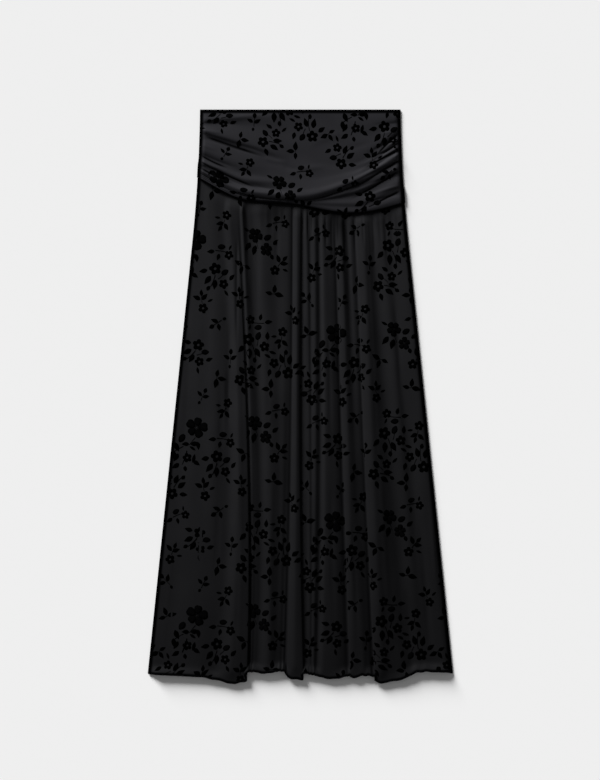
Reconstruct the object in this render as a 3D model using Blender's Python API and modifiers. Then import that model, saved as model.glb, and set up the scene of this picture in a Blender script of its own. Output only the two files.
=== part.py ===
"""A pull-on A-line midi skirt with a wide draped waist band, laid flat on its back.

X runs across the skirt, Y runs up to the waist and Z is up off the table, in metres.
The origin is at the middle of the skirt's outline, on the table.
Each cloth piece is a grid that is moved onto its drawn sections and then given its thickness.
"""

from collections import namedtuple

import bmesh
import bpy

MM = 0.001

# Driving sizes, in millimetres. A "drop" is a distance down from the waist edge.
LENGTH = 916.0
WALL = 1.2
SEAM_GAP = 0.3
WAIST_HALF = 160.0
HIP_DROP = 208.0
HIP_HALF = 172.0
HEM_DROP = 900.0
HEM_HALF = 243.5

# The side edge curves out from the waist to the hip and runs straight from there to the hem.
FLARE = (HEM_HALF - HIP_HALF) / (HEM_DROP - HIP_DROP)
HIP_CURVE = (FLARE * HIP_DROP - (HIP_HALF - WAIST_HALF)) / HIP_DROP**2
WAIST_FLARE = FLARE - 2 * HIP_CURVE * HIP_DROP

# Heights of a wall's middle surface above the table: the back, the front lying on it, and
# the band's turned-in lip, which lies on the top of the skirt's front.
LAP_GAP = 0.4
BACK_HEIGHT = WALL / 2
FRONT_HEIGHT = BACK_HEIGHT + WALL + SEAM_GAP
LAP_HEIGHT = FRONT_HEIGHT + WALL + LAP_GAP

# The waist band's lower edge, its lip, at nine even places from the left side to the right.
# The skirt's top edge is tucked under the band by TUCK.
LIP_DROPS = (107.5, 134.0, 144.5, 147.0, 152.3, 162.0, 164.8, 160.5, 148.3)
TUCK = 16.0

# The band climbs over the skirt's top edge along LAP_RAMP, which ends LAP_MARGIN above it.
LAP_RAMP = 14.0
LAP_MARGIN = 2.0
SIDE_TURN = 9.0

# The front's gathers start GATHER_LEAD above the lip and rise to their full height along
# GATHER_RISE. The folds change their places below FOLDS_START, and FOLDS_MIDDLE is how far
# down the tables' middle column lies.
GATHER_LEAD = 3.0
GATHER_RISE = 22.0
FOLDS_START = 165.0
FOLDS_MIDDLE = 0.44
BACK_HEM_LIFT = 5.0
BACK_HEM_POWER = 4

FrontFold = namedtuple(
    "FrontFold",
    "name across_top across_middle across_hem rise_top rise_middle rise_hem hem_drop",
)

# The front's folds from left to right. "across" is a share of the half width, from -1 to 1,
# and "rise" is the height above the front's resting height, in millimetres.
# Where a nose lies past its return, the cloth doubles back under itself.
FRONT_FOLDS = (
    FrontFold("left_edge", -1.000, -1.000, -1.000, 0.0, 0.0, 0.0, 901.0),
    FrontFold("left_crest", -0.851, -0.695, -0.685, 2.3, 3.1, 3.4, 905.0),
    FrontFold("left_valley", -0.746, -0.568, -0.560, 0.9, 1.2, 1.7, 909.0),
    FrontFold("second_crest", -0.670, -0.493, -0.455, 3.6, 5.7, 6.6, 916.0),
    FrontFold("second_flank", -0.630, -0.459, -0.396, 3.4, 4.9, 5.7, 914.5),
    FrontFold("second_nose", -0.603, -0.432, -0.350, 2.9, 3.7, 4.6, 911.0),
    FrontFold("second_return", -0.592, -0.437, -0.367, 2.6, 1.9, 2.9, 903.0),
    FrontFold("second_floor", -0.580, -0.418, -0.336, 2.4, 0.6, 1.5, 897.0),
    FrontFold("slip_crest", -0.557, -0.396, -0.319, 3.8, 2.3, 1.5, 897.0),
    FrontFold("slip_valley", -0.523, -0.345, -0.292, 0.3, 0.1, 1.2, 897.5),
    FrontFold("third_crest", -0.374, -0.256, -0.216, 3.4, 4.2, 5.1, 899.5),
    FrontFold("third_slope", -0.231, -0.166, -0.162, 1.6, 1.6, 2.4, 896.5),
    FrontFold("third_shelf", -0.121, -0.119, -0.131, 1.8, 1.4, 1.3, 896.0),
    FrontFold("third_floor", -0.079, -0.079, -0.110, 0.3, 0.2, 1.4, 896.0),
    FrontFold("tube_left_return", -0.066, -0.061, -0.090, 0.9, 1.6, 1.8, 902.5),
    FrontFold("tube_left_nose", -0.064, -0.061, -0.081, 1.9, 3.0, 3.0, 905.5),
    FrontFold("tube_crest", -0.028, -0.031, -0.035, 4.4, 6.1, 6.6, 909.0),
    FrontFold("tube_right_nose", 0.003, -0.006, 0.020, 2.7, 3.6, 4.7, 910.0),
    FrontFold("tube_right_return", -0.001, -0.016, 0.005, 1.1, 1.7, 2.9, 904.0),
    FrontFold("tube_right_floor", 0.019, 0.006, 0.032, 0.2, 0.2, 1.4, 899.8),
    FrontFold("fourth_crest", 0.056, 0.065, 0.061, 3.0, 2.4, 2.3, 901.0),
    FrontFold("gather_valley", 0.090, 0.088, 0.072, 1.0, 1.6, 2.1, 901.5),
    FrontFold("gather_crest", 0.136, 0.120, 0.086, 3.2, 3.0, 2.8, 902.0),
    FrontFold("fourth_valley", 0.173, 0.157, 0.106, 0.4, 0.4, 1.4, 903.0),
    FrontFold("tuck_crest", 0.209, 0.201, 0.150, 3.2, 4.9, 5.7, 906.5),
    FrontFold("tuck_slope", 0.254, 0.268, 0.241, 1.3, 2.9, 3.8, 908.0),
    FrontFold("fifth_floor", 0.317, 0.313, 0.306, 0.2, 0.2, 1.4, 903.5),
    FrontFold("sixth_return", 0.338, 0.334, 0.331, 0.8, 1.7, 2.8, 904.0),
    FrontFold("sixth_nose", 0.342, 0.332, 0.327, 1.6, 3.1, 4.3, 905.0),
    FrontFold("sixth_crest", 0.388, 0.372, 0.357, 3.8, 6.0, 5.8, 906.4),
    FrontFold("sixth_floor", 0.428, 0.426, 0.409, 0.2, 2.0, 6.0, 903.0),
    FrontFold("small_crest", 0.473, 0.461, 0.445, 2.5, 1.2, 3.4, 903.0),
    FrontFold("small_valley", 0.512, 0.487, 0.470, 0.9, 0.2, 1.4, 904.0),
    FrontFold("last_return", 0.529, 0.506, 0.501, 1.4, 1.8, 2.9, 906.0),
    FrontFold("last_nose", 0.532, 0.501, 0.487, 2.2, 3.3, 4.7, 911.0),
    FrontFold("last_crest", 0.592, 0.560, 0.533, 4.0, 7.0, 7.2, 915.0),
    FrontFold("last_flank", 0.630, 0.609, 0.599, 2.6, 4.3, 4.6, 912.5),
    FrontFold("last_valley", 0.678, 0.674, 0.708, 0.6, 0.2, 1.6, 905.0),
    FrontFold("right_crest", 0.759, 0.778, 0.780, 2.8, 3.1, 2.1, 897.0),
    FrontFold("right_valley", 0.853, 0.842, 0.852, 0.9, 0.7, 1.5, 897.0),
    FrontFold("right_roll", 0.967, 0.953, 0.953, 2.3, 2.8, 2.9, 897.5),
    FrontFold("right_edge", 1.000, 1.000, 1.000, 0.0, 0.0, 0.0, 900.0),
)

BandFold = namedtuple("BandFold", "name drops rises")

# The band's drape from the waist edge down. Each line has a drop and a rise at five even
# places: left side, left middle, centre, right middle, right side.
BAND_FOLDS = (
    BandFold("waist_edge", (0.0, 0.0, 0.0, 0.0, 0.0), (0.0, 0.0, 0.0, 0.0, 0.0)),
    BandFold("waist_roll", (4.5, 4.5, 4.5, 4.5, 4.5), (1.5, 1.8, 1.8, 1.8, 1.5)),
    BandFold("upper_crest", (16.0, 11.0, 15.0, 18.0, 14.0), (3.3, 2.9, 2.1, 2.2, 2.7)),
    BandFold("upper_valley", (24.0, 24.0, 34.0, 38.0, 22.0), (1.8, 2.1, 2.4, 2.5, 1.9)),
    BandFold("first_crest", (32.0, 54.0, 74.0, 72.0, 29.0), (4.3, 5.3, 3.5, 3.3, 3.5)),
    BandFold("first_valley", (39.0, 64.0, 86.0, 84.0, 37.0), (1.5, 2.7, 3.7, 3.5, 1.5)),
    BandFold("second_crest", (61.0, 88.0, 98.0, 92.0, 44.0), (4.3, 4.5, 4.4, 4.5, 4.1)),
    BandFold("second_valley", (72.0, 102.0, 109.0, 98.0, 51.0), (1.7, 3.5, 5.1, 5.3, 1.7)),
    BandFold("third_crest", (82.0, 112.0, 118.0, 103.5, 57.0), (4.5, 4.9, 6.1, 6.7, 4.5)),
    BandFold("third_valley", (89.0, 121.0, 127.0, 108.5, 63.0), (2.1, 2.9, 7.3, 7.9, 2.5)),
    BandFold("belly_crest", (95.0, 131.0, 137.0, 115.0, 70.0), (5.1, 7.5, 9.5, 9.9, 6.3)),
    BandFold("belly_nose", (98.5, 137.0, 144.0, 122.5, 77.0), (3.9, 5.5, 6.5, 6.5, 4.3)),
    BandFold("belly_return", (99.8, 138.4, 142.6, 120.0, 77.0), (2.7, 4.3, 4.5, 3.5, 2.7)),
    BandFold("lower_crest", (101.2, 139.7, 145.4, 130.0, 88.0), (3.3, 4.5, 4.9, 6.7, 5.1)),
    BandFold("lower_valley", (102.6, 140.8, 147.0, 138.0, 99.0), (2.8, 4.5, 5.1, 4.1, 2.5)),
    BandFold("bottom_crest", (103.8, 141.8, 148.2, 149.0, 114.0), (3.3, 4.3, 4.7, 5.7, 4.7)),
    BandFold("bottom_valley", (105.0, 142.7, 149.4, 156.0, 127.0), (2.8, 4.0, 4.5, 4.6, 2.7)),
    BandFold("lip_crest", (106.3, 143.6, 150.8, 161.0, 140.0), (3.1, 3.7, 4.1, 4.5, 4.1)),
    BandFold("lip_nose", (107.5, 144.5, 152.3, 164.8, 148.3), (2.6, 3.0, 3.1, 3.3, 2.9)),
    BandFold("lip_return", (99.5, 136.5, 144.3, 156.8, 140.3), (1.6, 1.6, 1.6, 1.6, 1.6)),
)

# Grid steps: columns for each of the front's folds, rows for each of the band's, and the rest.
COLUMNS_PER_FOLD = 3
FRONT_ROWS = 22
FRONT_ROW_CROWDING = 1.25
BAND_ROWS_PER_FOLD = 2
BAND_COLUMNS = 28
BACK_COLUMNS = 14
SKIRT_BACK_ROWS = 16
BAND_BACK_ROWS = 4

CLOTH_COLOUR = (0.016, 0.016, 0.018, 1.0)
CLOTH_ROUGHNESS = 0.75


def smooth(share):
    """A soft step from 0 to 1."""
    share = min(max(share, 0.0), 1.0)
    return share * share * (3 - 2 * share)


def curve_through(values, place):
    """A smooth curve through evenly spaced values that never overshoots them."""
    last = len(values) - 1
    index = min(max(int(place), 0), last - 1)
    share = place - index
    steps = [values[i + 1] - values[i] for i in range(last)]

    def slope(i):
        before, after = steps[max(i - 1, 0)], steps[min(i, last - 1)]
        return 0.0 if before * after <= 0 else 2 * before * after / (before + after)

    start, end = values[index], values[index + 1]
    square, cube = share**2, share**3
    return (
        (2 * cube - 3 * square + 1) * start
        + (cube - 2 * square + share) * slope(index)
        + (3 * square - 2 * cube) * end
        + (cube - square) * slope(index + 1)
    )


def half_width(drop):
    """Half the skirt's flat width at a drop."""
    if drop < HIP_DROP:
        return WAIST_HALF + WAIST_FLARE * drop + HIP_CURVE * drop**2
    return HIP_HALF + FLARE * (drop - HIP_DROP)


def lip_drop(across):
    """The drop of the band's lower edge. across runs from -1 at the left side to 1."""
    return curve_through(LIP_DROPS, (across + 1) / 2 * (len(LIP_DROPS) - 1))


def to_metres(across, drop, height):
    """A point of the skirt, from its share of the half width, its drop and its height."""
    return (across * half_width(drop) * MM, (LENGTH / 2 - drop) * MM, height * MM)


def fold_share(drop):
    """How far down its folds the front is at a drop, from 0 at the band to 1 at the hem."""
    return min(max((drop - FOLDS_START) / (HEM_DROP - FOLDS_START), 0.0), 1.0)


def along_fold(top, middle, hem, share):
    """A fold's value down its length: a bow through its three stated values."""
    bow = (middle - top - (hem - top) * FOLDS_MIDDLE) / (FOLDS_MIDDLE * (FOLDS_MIDDLE - 1))
    return top + (hem - top - bow) * share + bow * share**2


def front_point(u, v):
    """The front's middle surface. u runs across its folds, v from under the band to the hem."""
    place = u * (len(FRONT_FOLDS) - 1)
    lip = lip_drop(curve_through([fold.across_top for fold in FRONT_FOLDS], place))
    hem = curve_through([fold.hem_drop for fold in FRONT_FOLDS], place)
    top = lip - TUCK
    drop = top + (hem - top) * v**FRONT_ROW_CROWDING
    share = fold_share(drop)
    across = curve_through(
        [along_fold(f.across_top, f.across_middle, f.across_hem, share) for f in FRONT_FOLDS],
        place,
    )
    rise = curve_through(
        [along_fold(f.rise_top, f.rise_middle, f.rise_hem, share) for f in FRONT_FOLDS],
        place,
    )
    gathered = smooth((drop - lip + GATHER_LEAD) / GATHER_RISE)
    return to_metres(across, drop, FRONT_HEIGHT + rise * gathered)


def band_front_point(u, v):
    """The band's draped front. u runs from the left side to the right, v down its folds."""
    across = 2 * u - 1
    place = v * (len(BAND_FOLDS) - 1)
    station = u * (len(BAND_FOLDS[0].drops) - 1)
    drop = curve_through([curve_through(fold.drops, station) for fold in BAND_FOLDS], place)
    rise = curve_through([curve_through(fold.rises, station) for fold in BAND_FOLDS], place)
    skirt_top = lip_drop(across) - TUCK
    climb = smooth((drop - skirt_top + LAP_MARGIN + LAP_RAMP) / LAP_RAMP)
    seam_rise = (LAP_HEIGHT - FRONT_HEIGHT) * climb
    turn = smooth((1 - abs(across)) * half_width(drop) / SIDE_TURN)
    return to_metres(across, drop, FRONT_HEIGHT + seam_rise + max(rise - seam_rise, 0.0) * turn)


def band_back_point(u, v):
    """The band's back, flat on the table, down to its seam with the skirt's back."""
    across = 2 * u - 1
    return to_metres(across, (lip_drop(across) - SEAM_GAP / 2) * v, BACK_HEIGHT)


def skirt_back_point(u, v):
    """The skirt's back, flat on the table, from its seam with the band to its hem."""
    across = 2 * u - 1
    top = lip_drop(across) + SEAM_GAP / 2
    hem = HEM_DROP - BACK_HEM_LIFT * (1 - across**BACK_HEM_POWER)
    return to_metres(across, top + (hem - top) * v, BACK_HEIGHT)


def cloth_material(name):
    """The dark cloth's plain finish."""
    material = bpy.data.materials.new(name)
    material.use_nodes = True
    shader = material.node_tree.nodes["Principled BSDF"]
    shader.inputs["Base Color"].default_value = CLOTH_COLOUR
    shader.inputs["Roughness"].default_value = CLOTH_ROUGHNESS
    shader.inputs["Metallic"].default_value = 0.0
    return material


def cloth_piece(name, point, columns, rows, collection):
    """A cloth wall: a grid whose corners run 0 to 1 each way, moved by point and thickened."""
    shape = bmesh.new()
    bmesh.ops.create_grid(shape, x_segments=columns, y_segments=rows, size=0.5)
    for vertex in shape.verts:
        vertex.co = point(vertex.co.x + 0.5, 0.5 - vertex.co.y)
    mesh = bpy.data.meshes.new(name)
    shape.to_mesh(mesh)
    shape.free()
    mesh.shade_smooth()
    mesh.materials.append(cloth_material(name + "_cloth"))
    piece = bpy.data.objects.new(name, mesh)
    collection.objects.link(piece)
    wall = piece.modifiers.new("Wall", "SOLIDIFY")
    wall.thickness = WALL * MM
    wall.offset = 0.0
    wall.use_even_offset = True
    return piece


def main():
    """Clears the scene and builds the skirt's four cloth pieces in a collection of their own."""
    for old in list(bpy.data.objects):
        bpy.data.objects.remove(old)
    skirt = bpy.data.collections.new("A_line_skirt")
    bpy.context.scene.collection.children.link(skirt)
    front_columns = COLUMNS_PER_FOLD * (len(FRONT_FOLDS) - 1)
    band_rows = BAND_ROWS_PER_FOLD * (len(BAND_FOLDS) - 1)
    cloth_piece("skirt_front", front_point, front_columns, FRONT_ROWS, skirt)
    cloth_piece("skirt_back", skirt_back_point, BACK_COLUMNS, SKIRT_BACK_ROWS, skirt)
    cloth_piece("band_front", band_front_point, BAND_COLUMNS, band_rows, skirt)
    cloth_piece("band_back", band_back_point, BACK_COLUMNS, BAND_BACK_ROWS, skirt)


main()
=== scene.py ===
"""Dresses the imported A-line midi skirt: near-black stretch cloth with a raised flock print.

Sizes in the tables are in millimetres. A "drop" is a distance down from the waist edge, and
"across" is a share of the half width, from -1 at the left side to 1 at the right. A "flat"
place is one on a panel as it was cut, before it was gathered or draped: s across it, t down it.
"""

import logging
import math
from dataclasses import dataclass, field
from enum import Enum
from typing import Callable, NamedTuple, Sequence

import bmesh
import bpy
import numpy as np
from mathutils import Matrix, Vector


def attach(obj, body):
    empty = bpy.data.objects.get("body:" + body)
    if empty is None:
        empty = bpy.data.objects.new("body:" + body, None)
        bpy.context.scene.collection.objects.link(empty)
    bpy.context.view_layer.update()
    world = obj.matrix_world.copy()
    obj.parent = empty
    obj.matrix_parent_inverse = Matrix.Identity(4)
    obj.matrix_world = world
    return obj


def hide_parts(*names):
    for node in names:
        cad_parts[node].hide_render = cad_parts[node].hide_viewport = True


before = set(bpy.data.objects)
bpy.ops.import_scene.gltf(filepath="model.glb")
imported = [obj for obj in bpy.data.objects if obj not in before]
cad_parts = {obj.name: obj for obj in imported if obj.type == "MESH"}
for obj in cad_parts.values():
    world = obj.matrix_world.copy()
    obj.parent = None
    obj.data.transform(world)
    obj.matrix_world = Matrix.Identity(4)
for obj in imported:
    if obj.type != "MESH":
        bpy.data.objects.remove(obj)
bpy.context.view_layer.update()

MM = 0.001
BODY = "root"

log = logging.getLogger("skirt")

Colour = tuple[float, float, float]


class Side(Enum):
    """Which side of the skirt a panel is on, as the sign of its outward height."""

    FRONT = 1
    BACK = -1


# ---- Curves ----


def smooth(share: np.ndarray) -> np.ndarray:
    """A soft step from 0 to 1."""
    share = np.clip(share, 0.0, 1.0)
    return share * share * (3 - 2 * share)


def rows(kind: type, *values: tuple) -> tuple:
    """A table: one record of a kind from each row of values."""
    return tuple(kind(*row) for row in values)


def walked(points: np.ndarray, axis: int = 0) -> np.ndarray:
    """The distance along points, up to each of them, on one axis of their grid."""
    steps = np.linalg.norm(np.diff(points, axis=axis), axis=-1)
    start = np.zeros_like(np.take(steps, [0], axis=axis))
    return np.concatenate([start, np.cumsum(steps, axis=axis)], axis=axis)


def at_distances(line: np.ndarray, distances: np.ndarray) -> np.ndarray:
    """The points of a line at distances along it."""
    gone = walked(line)
    return np.stack([np.interp(distances, gone, line[:, axis]) for axis in range(3)], axis=1)


def on_grid(surface: Callable, first: np.ndarray, second: np.ndarray) -> np.ndarray:
    """A surface's points over two grids of its shares."""
    return surface(first.ravel(), second.ravel()).reshape(first.shape + (3,))


def curve_through(values: Sequence, place: np.ndarray) -> np.ndarray:
    """Reads a smooth curve that never overshoots the values it runs through.

    Args:
        values: evenly spaced values, each one a number or an array as long as place.
        place: where to read the curve, counted in values from 0.

    Returns:
        The curve's value at each place.
    """
    table = np.asarray(values, dtype=float)
    place = np.asarray(place, dtype=float)
    last = len(table) - 1
    index = np.clip(place.astype(int), 0, last - 1)
    share = place - index
    lanes = np.arange(len(place))

    def value(row: np.ndarray) -> np.ndarray:
        row = np.clip(row, 0, last)
        return table[row] if table.ndim == 1 else table[row, lanes]

    def slope(before: np.ndarray, after: np.ndarray) -> np.ndarray:
        product = before * after
        total = np.where(product > 0, before + after, 1.0)
        return np.where(product > 0, 2 * product / total, 0.0)

    start, end = value(index), value(index + 1)
    step = end - start
    before = np.where(index > 0, start - value(index - 1), step)
    after = np.where(index < last - 1, value(index + 2) - end, step)
    square, cube = share**2, share**3
    return (
        (2 * cube - 3 * square + 1) * start
        + (cube - 2 * square + share) * slope(before, step)
        + (3 * square - 2 * cube) * end
        + (cube - square) * slope(step, after)
    )


class Crease(NamedTuple):
    """One soft trough (depth below 0) or ridge (above 0) pressed into laid cloth."""

    x0: float
    drop0: float
    x1: float
    drop1: float
    bow: float
    width: float
    depth: float


class Ripple(NamedTuple):
    """One long, low wave that keeps cloth from lying perfectly even."""

    pitch_x: float
    pitch_drop: float
    phase: float
    height: float


# The shares of a crease's length in which it deepens, and dies away.
CREASE_START, CREASE_END = 0.22, 0.42
# How far ripples wander, in radians, and the length they do it over: down, then across.
RIPPLE_WANDER = ((0.8, 97.0), (0.6, 71.0))


@dataclass(frozen=True)
class Relief:
    """The small form of a panel, added to its main folds."""

    creases: Sequence[Crease]
    ripples: Sequence[Ripple]
    # Lines are creases that are also drawn dark, as painted shade; line_dark scales how dark.
    lines: Sequence[Crease] = ()
    line_dark: float = 1.5

    @staticmethod
    def share(crease: Crease, x: np.ndarray, drop: np.ndarray) -> np.ndarray:
        """How much of a crease's depth it has at each place: all along its middle, none far off."""
        run, fall = crease.x1 - crease.x0, crease.drop1 - crease.drop0
        length = math.hypot(run, fall)
        along = ((x - crease.x0) * run + (drop - crease.drop0) * fall) / length**2
        aside = ((x - crease.x0) * fall - (drop - crease.drop0) * run) / length
        aside = aside - 4 * crease.bow * along * (1 - along)
        taper = smooth(along / CREASE_START) * smooth((1 - along) / CREASE_END)
        return taper * np.exp(-((aside / crease.width) ** 2))

    def height(self, x: np.ndarray, drop: np.ndarray) -> np.ndarray:
        """The relief's height.

        Args:
            x: places across the skirt.
            drop: places down the skirt.

        Returns:
            How far the cloth stands above its main folds at each place.
        """
        total = np.zeros_like(x)
        for crease in (*self.creases, *self.lines):
            total += crease.depth * self.share(crease, x, drop)
        (down, down_length), (aside, aside_length) = RIPPLE_WANDER
        for ripple in self.ripples:
            wander = down * np.sin(drop / down_length + ripple.phase * 2)
            wander = wander + aside * np.sin(x / aside_length)
            wave = 2 * math.pi * (x / ripple.pitch_x + drop / ripple.pitch_drop) + wander
            total += ripple.height * np.sin(wave + ripple.phase)
        return total

    def dark(self, x: np.ndarray, drop: np.ndarray) -> np.ndarray:
        """How dark the narrow creases are drawn, as painted shade, at each place."""
        total = np.zeros_like(x)
        for line in self.lines:
            total = np.maximum(total, -line.depth * self.share(line, x, drop))
        return np.minimum(self.line_dark * total, 1.0)


# ---- The skirt's outline and its panels' surfaces ----


@dataclass(frozen=True)
class Outline:
    """The skirt's flat outline, with the CAD model's own values."""

    length: float = 916.0
    waist_half: float = 160.0
    hip_drop: float = 208.0
    hip_half: float = 172.0
    hem_drop: float = 900.0
    hem_half: float = 243.5
    lip_drops: tuple[float, ...] = (
        107.5, 134.0, 144.5, 147.0, 152.3, 162.0, 164.8, 160.5, 148.3,
    )
    tuck: float = 16.0

    def half_width(self, drop: np.ndarray) -> np.ndarray:
        """Half the skirt's width at a drop: curved out to the hip, then straight to the hem."""
        flare = (self.hem_half - self.hip_half) / (self.hem_drop - self.hip_drop)
        widening = self.hip_half - self.waist_half
        bend = (flare * self.hip_drop - widening) / self.hip_drop**2
        above = self.waist_half + (flare - 2 * bend * self.hip_drop) * drop + bend * drop**2
        below = self.hip_half + flare * (drop - self.hip_drop)
        return np.where(drop < self.hip_drop, above, below)

    def lip_drop(self, across: np.ndarray) -> np.ndarray:
        """The drop of the band's lower edge."""
        return curve_through(self.lip_drops, (across + 1) / 2 * (len(self.lip_drops) - 1))

    def points(self, x: np.ndarray, drop: np.ndarray, height: np.ndarray) -> np.ndarray:
        """Points of the skirt, from their place across it, their drop and their height."""
        return np.stack([x, self.length / 2 - drop, height], axis=-1)


OUTLINE = Outline()


class FrontFold(NamedTuple):
    """A fold of the gathered front at the band, part of the way down and at the hem."""

    name: str
    across: tuple[float, float, float]
    rise: tuple[float, float, float]
    hem_drop: float


FRONT_FOLDS = rows(
    FrontFold,
    ("left_edge", (-1.0, -1.0, -1.0), (0.0, 0.0, 0.0), 901.0),
    ("left_crest", (-0.851, -0.695, -0.685), (2.3, 3.1, 3.4), 905.0),
    ("left_valley", (-0.746, -0.568, -0.56), (0.9, 1.2, 1.7), 909.0),
    ("second_crest", (-0.67, -0.493, -0.455), (3.6, 5.7, 6.6), 916.0),
    ("second_flank", (-0.63, -0.459, -0.396), (3.4, 4.9, 5.7), 914.5),
    ("second_nose", (-0.603, -0.432, -0.35), (2.9, 3.7, 4.6), 911.0),
    ("second_return", (-0.592, -0.437, -0.367), (2.6, 1.9, 2.9), 903.0),
    ("second_floor", (-0.58, -0.418, -0.336), (2.4, 0.6, 1.5), 897.0),
    ("slip_crest", (-0.557, -0.396, -0.319), (3.8, 2.3, 1.5), 897.0),
    ("slip_valley", (-0.523, -0.345, -0.292), (0.3, 0.1, 1.2), 897.5),
    ("third_crest", (-0.374, -0.256, -0.216), (3.4, 4.2, 5.1), 899.5),
    ("third_slope", (-0.231, -0.166, -0.162), (1.6, 1.6, 2.4), 896.5),
    ("third_shelf", (-0.121, -0.119, -0.131), (1.8, 1.4, 1.3), 896.0),
    ("third_floor", (-0.079, -0.079, -0.11), (0.3, 0.2, 1.4), 896.0),
    ("tube_left_return", (-0.066, -0.061, -0.09), (0.9, 1.6, 1.8), 902.5),
    ("tube_left_nose", (-0.064, -0.061, -0.081), (1.9, 3.0, 3.0), 905.5),
    ("tube_crest", (-0.028, -0.031, -0.035), (4.4, 6.1, 6.6), 909.0),
    ("tube_right_nose", (0.003, -0.006, 0.02), (2.7, 3.6, 4.7), 910.0),
    ("tube_right_return", (-0.001, -0.016, 0.005), (1.1, 1.7, 2.9), 904.0),
    ("tube_right_floor", (0.019, 0.006, 0.032), (0.2, 0.2, 1.4), 899.8),
    ("fourth_crest", (0.056, 0.065, 0.061), (3.0, 2.4, 2.3), 901.0),
    ("gather_valley", (0.09, 0.088, 0.072), (1.0, 1.6, 2.1), 901.5),
    ("gather_crest", (0.136, 0.12, 0.086), (3.2, 3.0, 2.8), 902.0),
    ("fourth_valley", (0.173, 0.157, 0.106), (0.4, 0.4, 1.4), 903.0),
    ("tuck_crest", (0.209, 0.201, 0.15), (3.2, 4.9, 5.7), 906.5),
    ("tuck_slope", (0.254, 0.268, 0.241), (1.3, 2.9, 3.8), 908.0),
    ("fifth_floor", (0.317, 0.313, 0.306), (0.2, 0.2, 1.4), 903.5),
    ("sixth_return", (0.338, 0.334, 0.331), (0.8, 1.7, 2.8), 904.0),
    ("sixth_nose", (0.342, 0.332, 0.327), (1.6, 3.1, 4.3), 905.0),
    ("sixth_crest", (0.388, 0.372, 0.357), (3.8, 6.0, 5.8), 906.4),
    ("sixth_floor", (0.428, 0.426, 0.409), (0.2, 2.0, 6.0), 903.0),
    ("small_crest", (0.473, 0.461, 0.445), (2.5, 1.2, 3.4), 903.0),
    ("small_valley", (0.512, 0.487, 0.47), (0.9, 0.2, 1.4), 904.0),
    ("last_return", (0.529, 0.506, 0.501), (1.4, 1.8, 2.9), 906.0),
    ("last_nose", (0.532, 0.501, 0.487), (2.2, 3.3, 4.7), 911.0),
    ("last_crest", (0.592, 0.56, 0.533), (4.0, 7.0, 7.2), 915.0),
    ("last_flank", (0.63, 0.609, 0.599), (2.6, 4.3, 4.6), 912.5),
    ("last_valley", (0.678, 0.674, 0.708), (0.6, 0.2, 1.6), 905.0),
    ("right_crest", (0.759, 0.778, 0.78), (2.8, 3.1, 2.1), 897.0),
    ("right_valley", (0.853, 0.842, 0.852), (0.9, 0.7, 1.5), 897.0),
    ("right_roll", (0.967, 0.953, 0.953), (2.3, 2.8, 2.9), 897.5),
    ("right_edge", (1.0, 1.0, 1.0), (0.0, 0.0, 0.0), 900.0),
)


# How dark a fold's foot is drawn at the band, part of the way down and at the hem: painted shade,
# where the fold keeps light from its foot.
FOLD_LINES = {
    "second_floor": (0.0, 0.35, 0.9),
    "slip_crest": (0.0, 0.0, 0.5),
    "slip_valley": (0.6, 0.4, 0.3),
    "third_shelf": (0.0, 0.3, 0.45),
    "third_floor": (0.7, 0.5, 0.75),
    "tube_right_floor": (0.25, 0.2, 0.3),
    "fourth_valley": (0.3, 0.3, 0.35),
    "fifth_floor": (0.6, 0.75, 0.6),
    "sixth_floor": (0.6, 0.1, 0.0),
    "small_valley": (0.2, 0.5, 0.8),
    "last_valley": (0.1, 0.3, 0.4),
}

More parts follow.
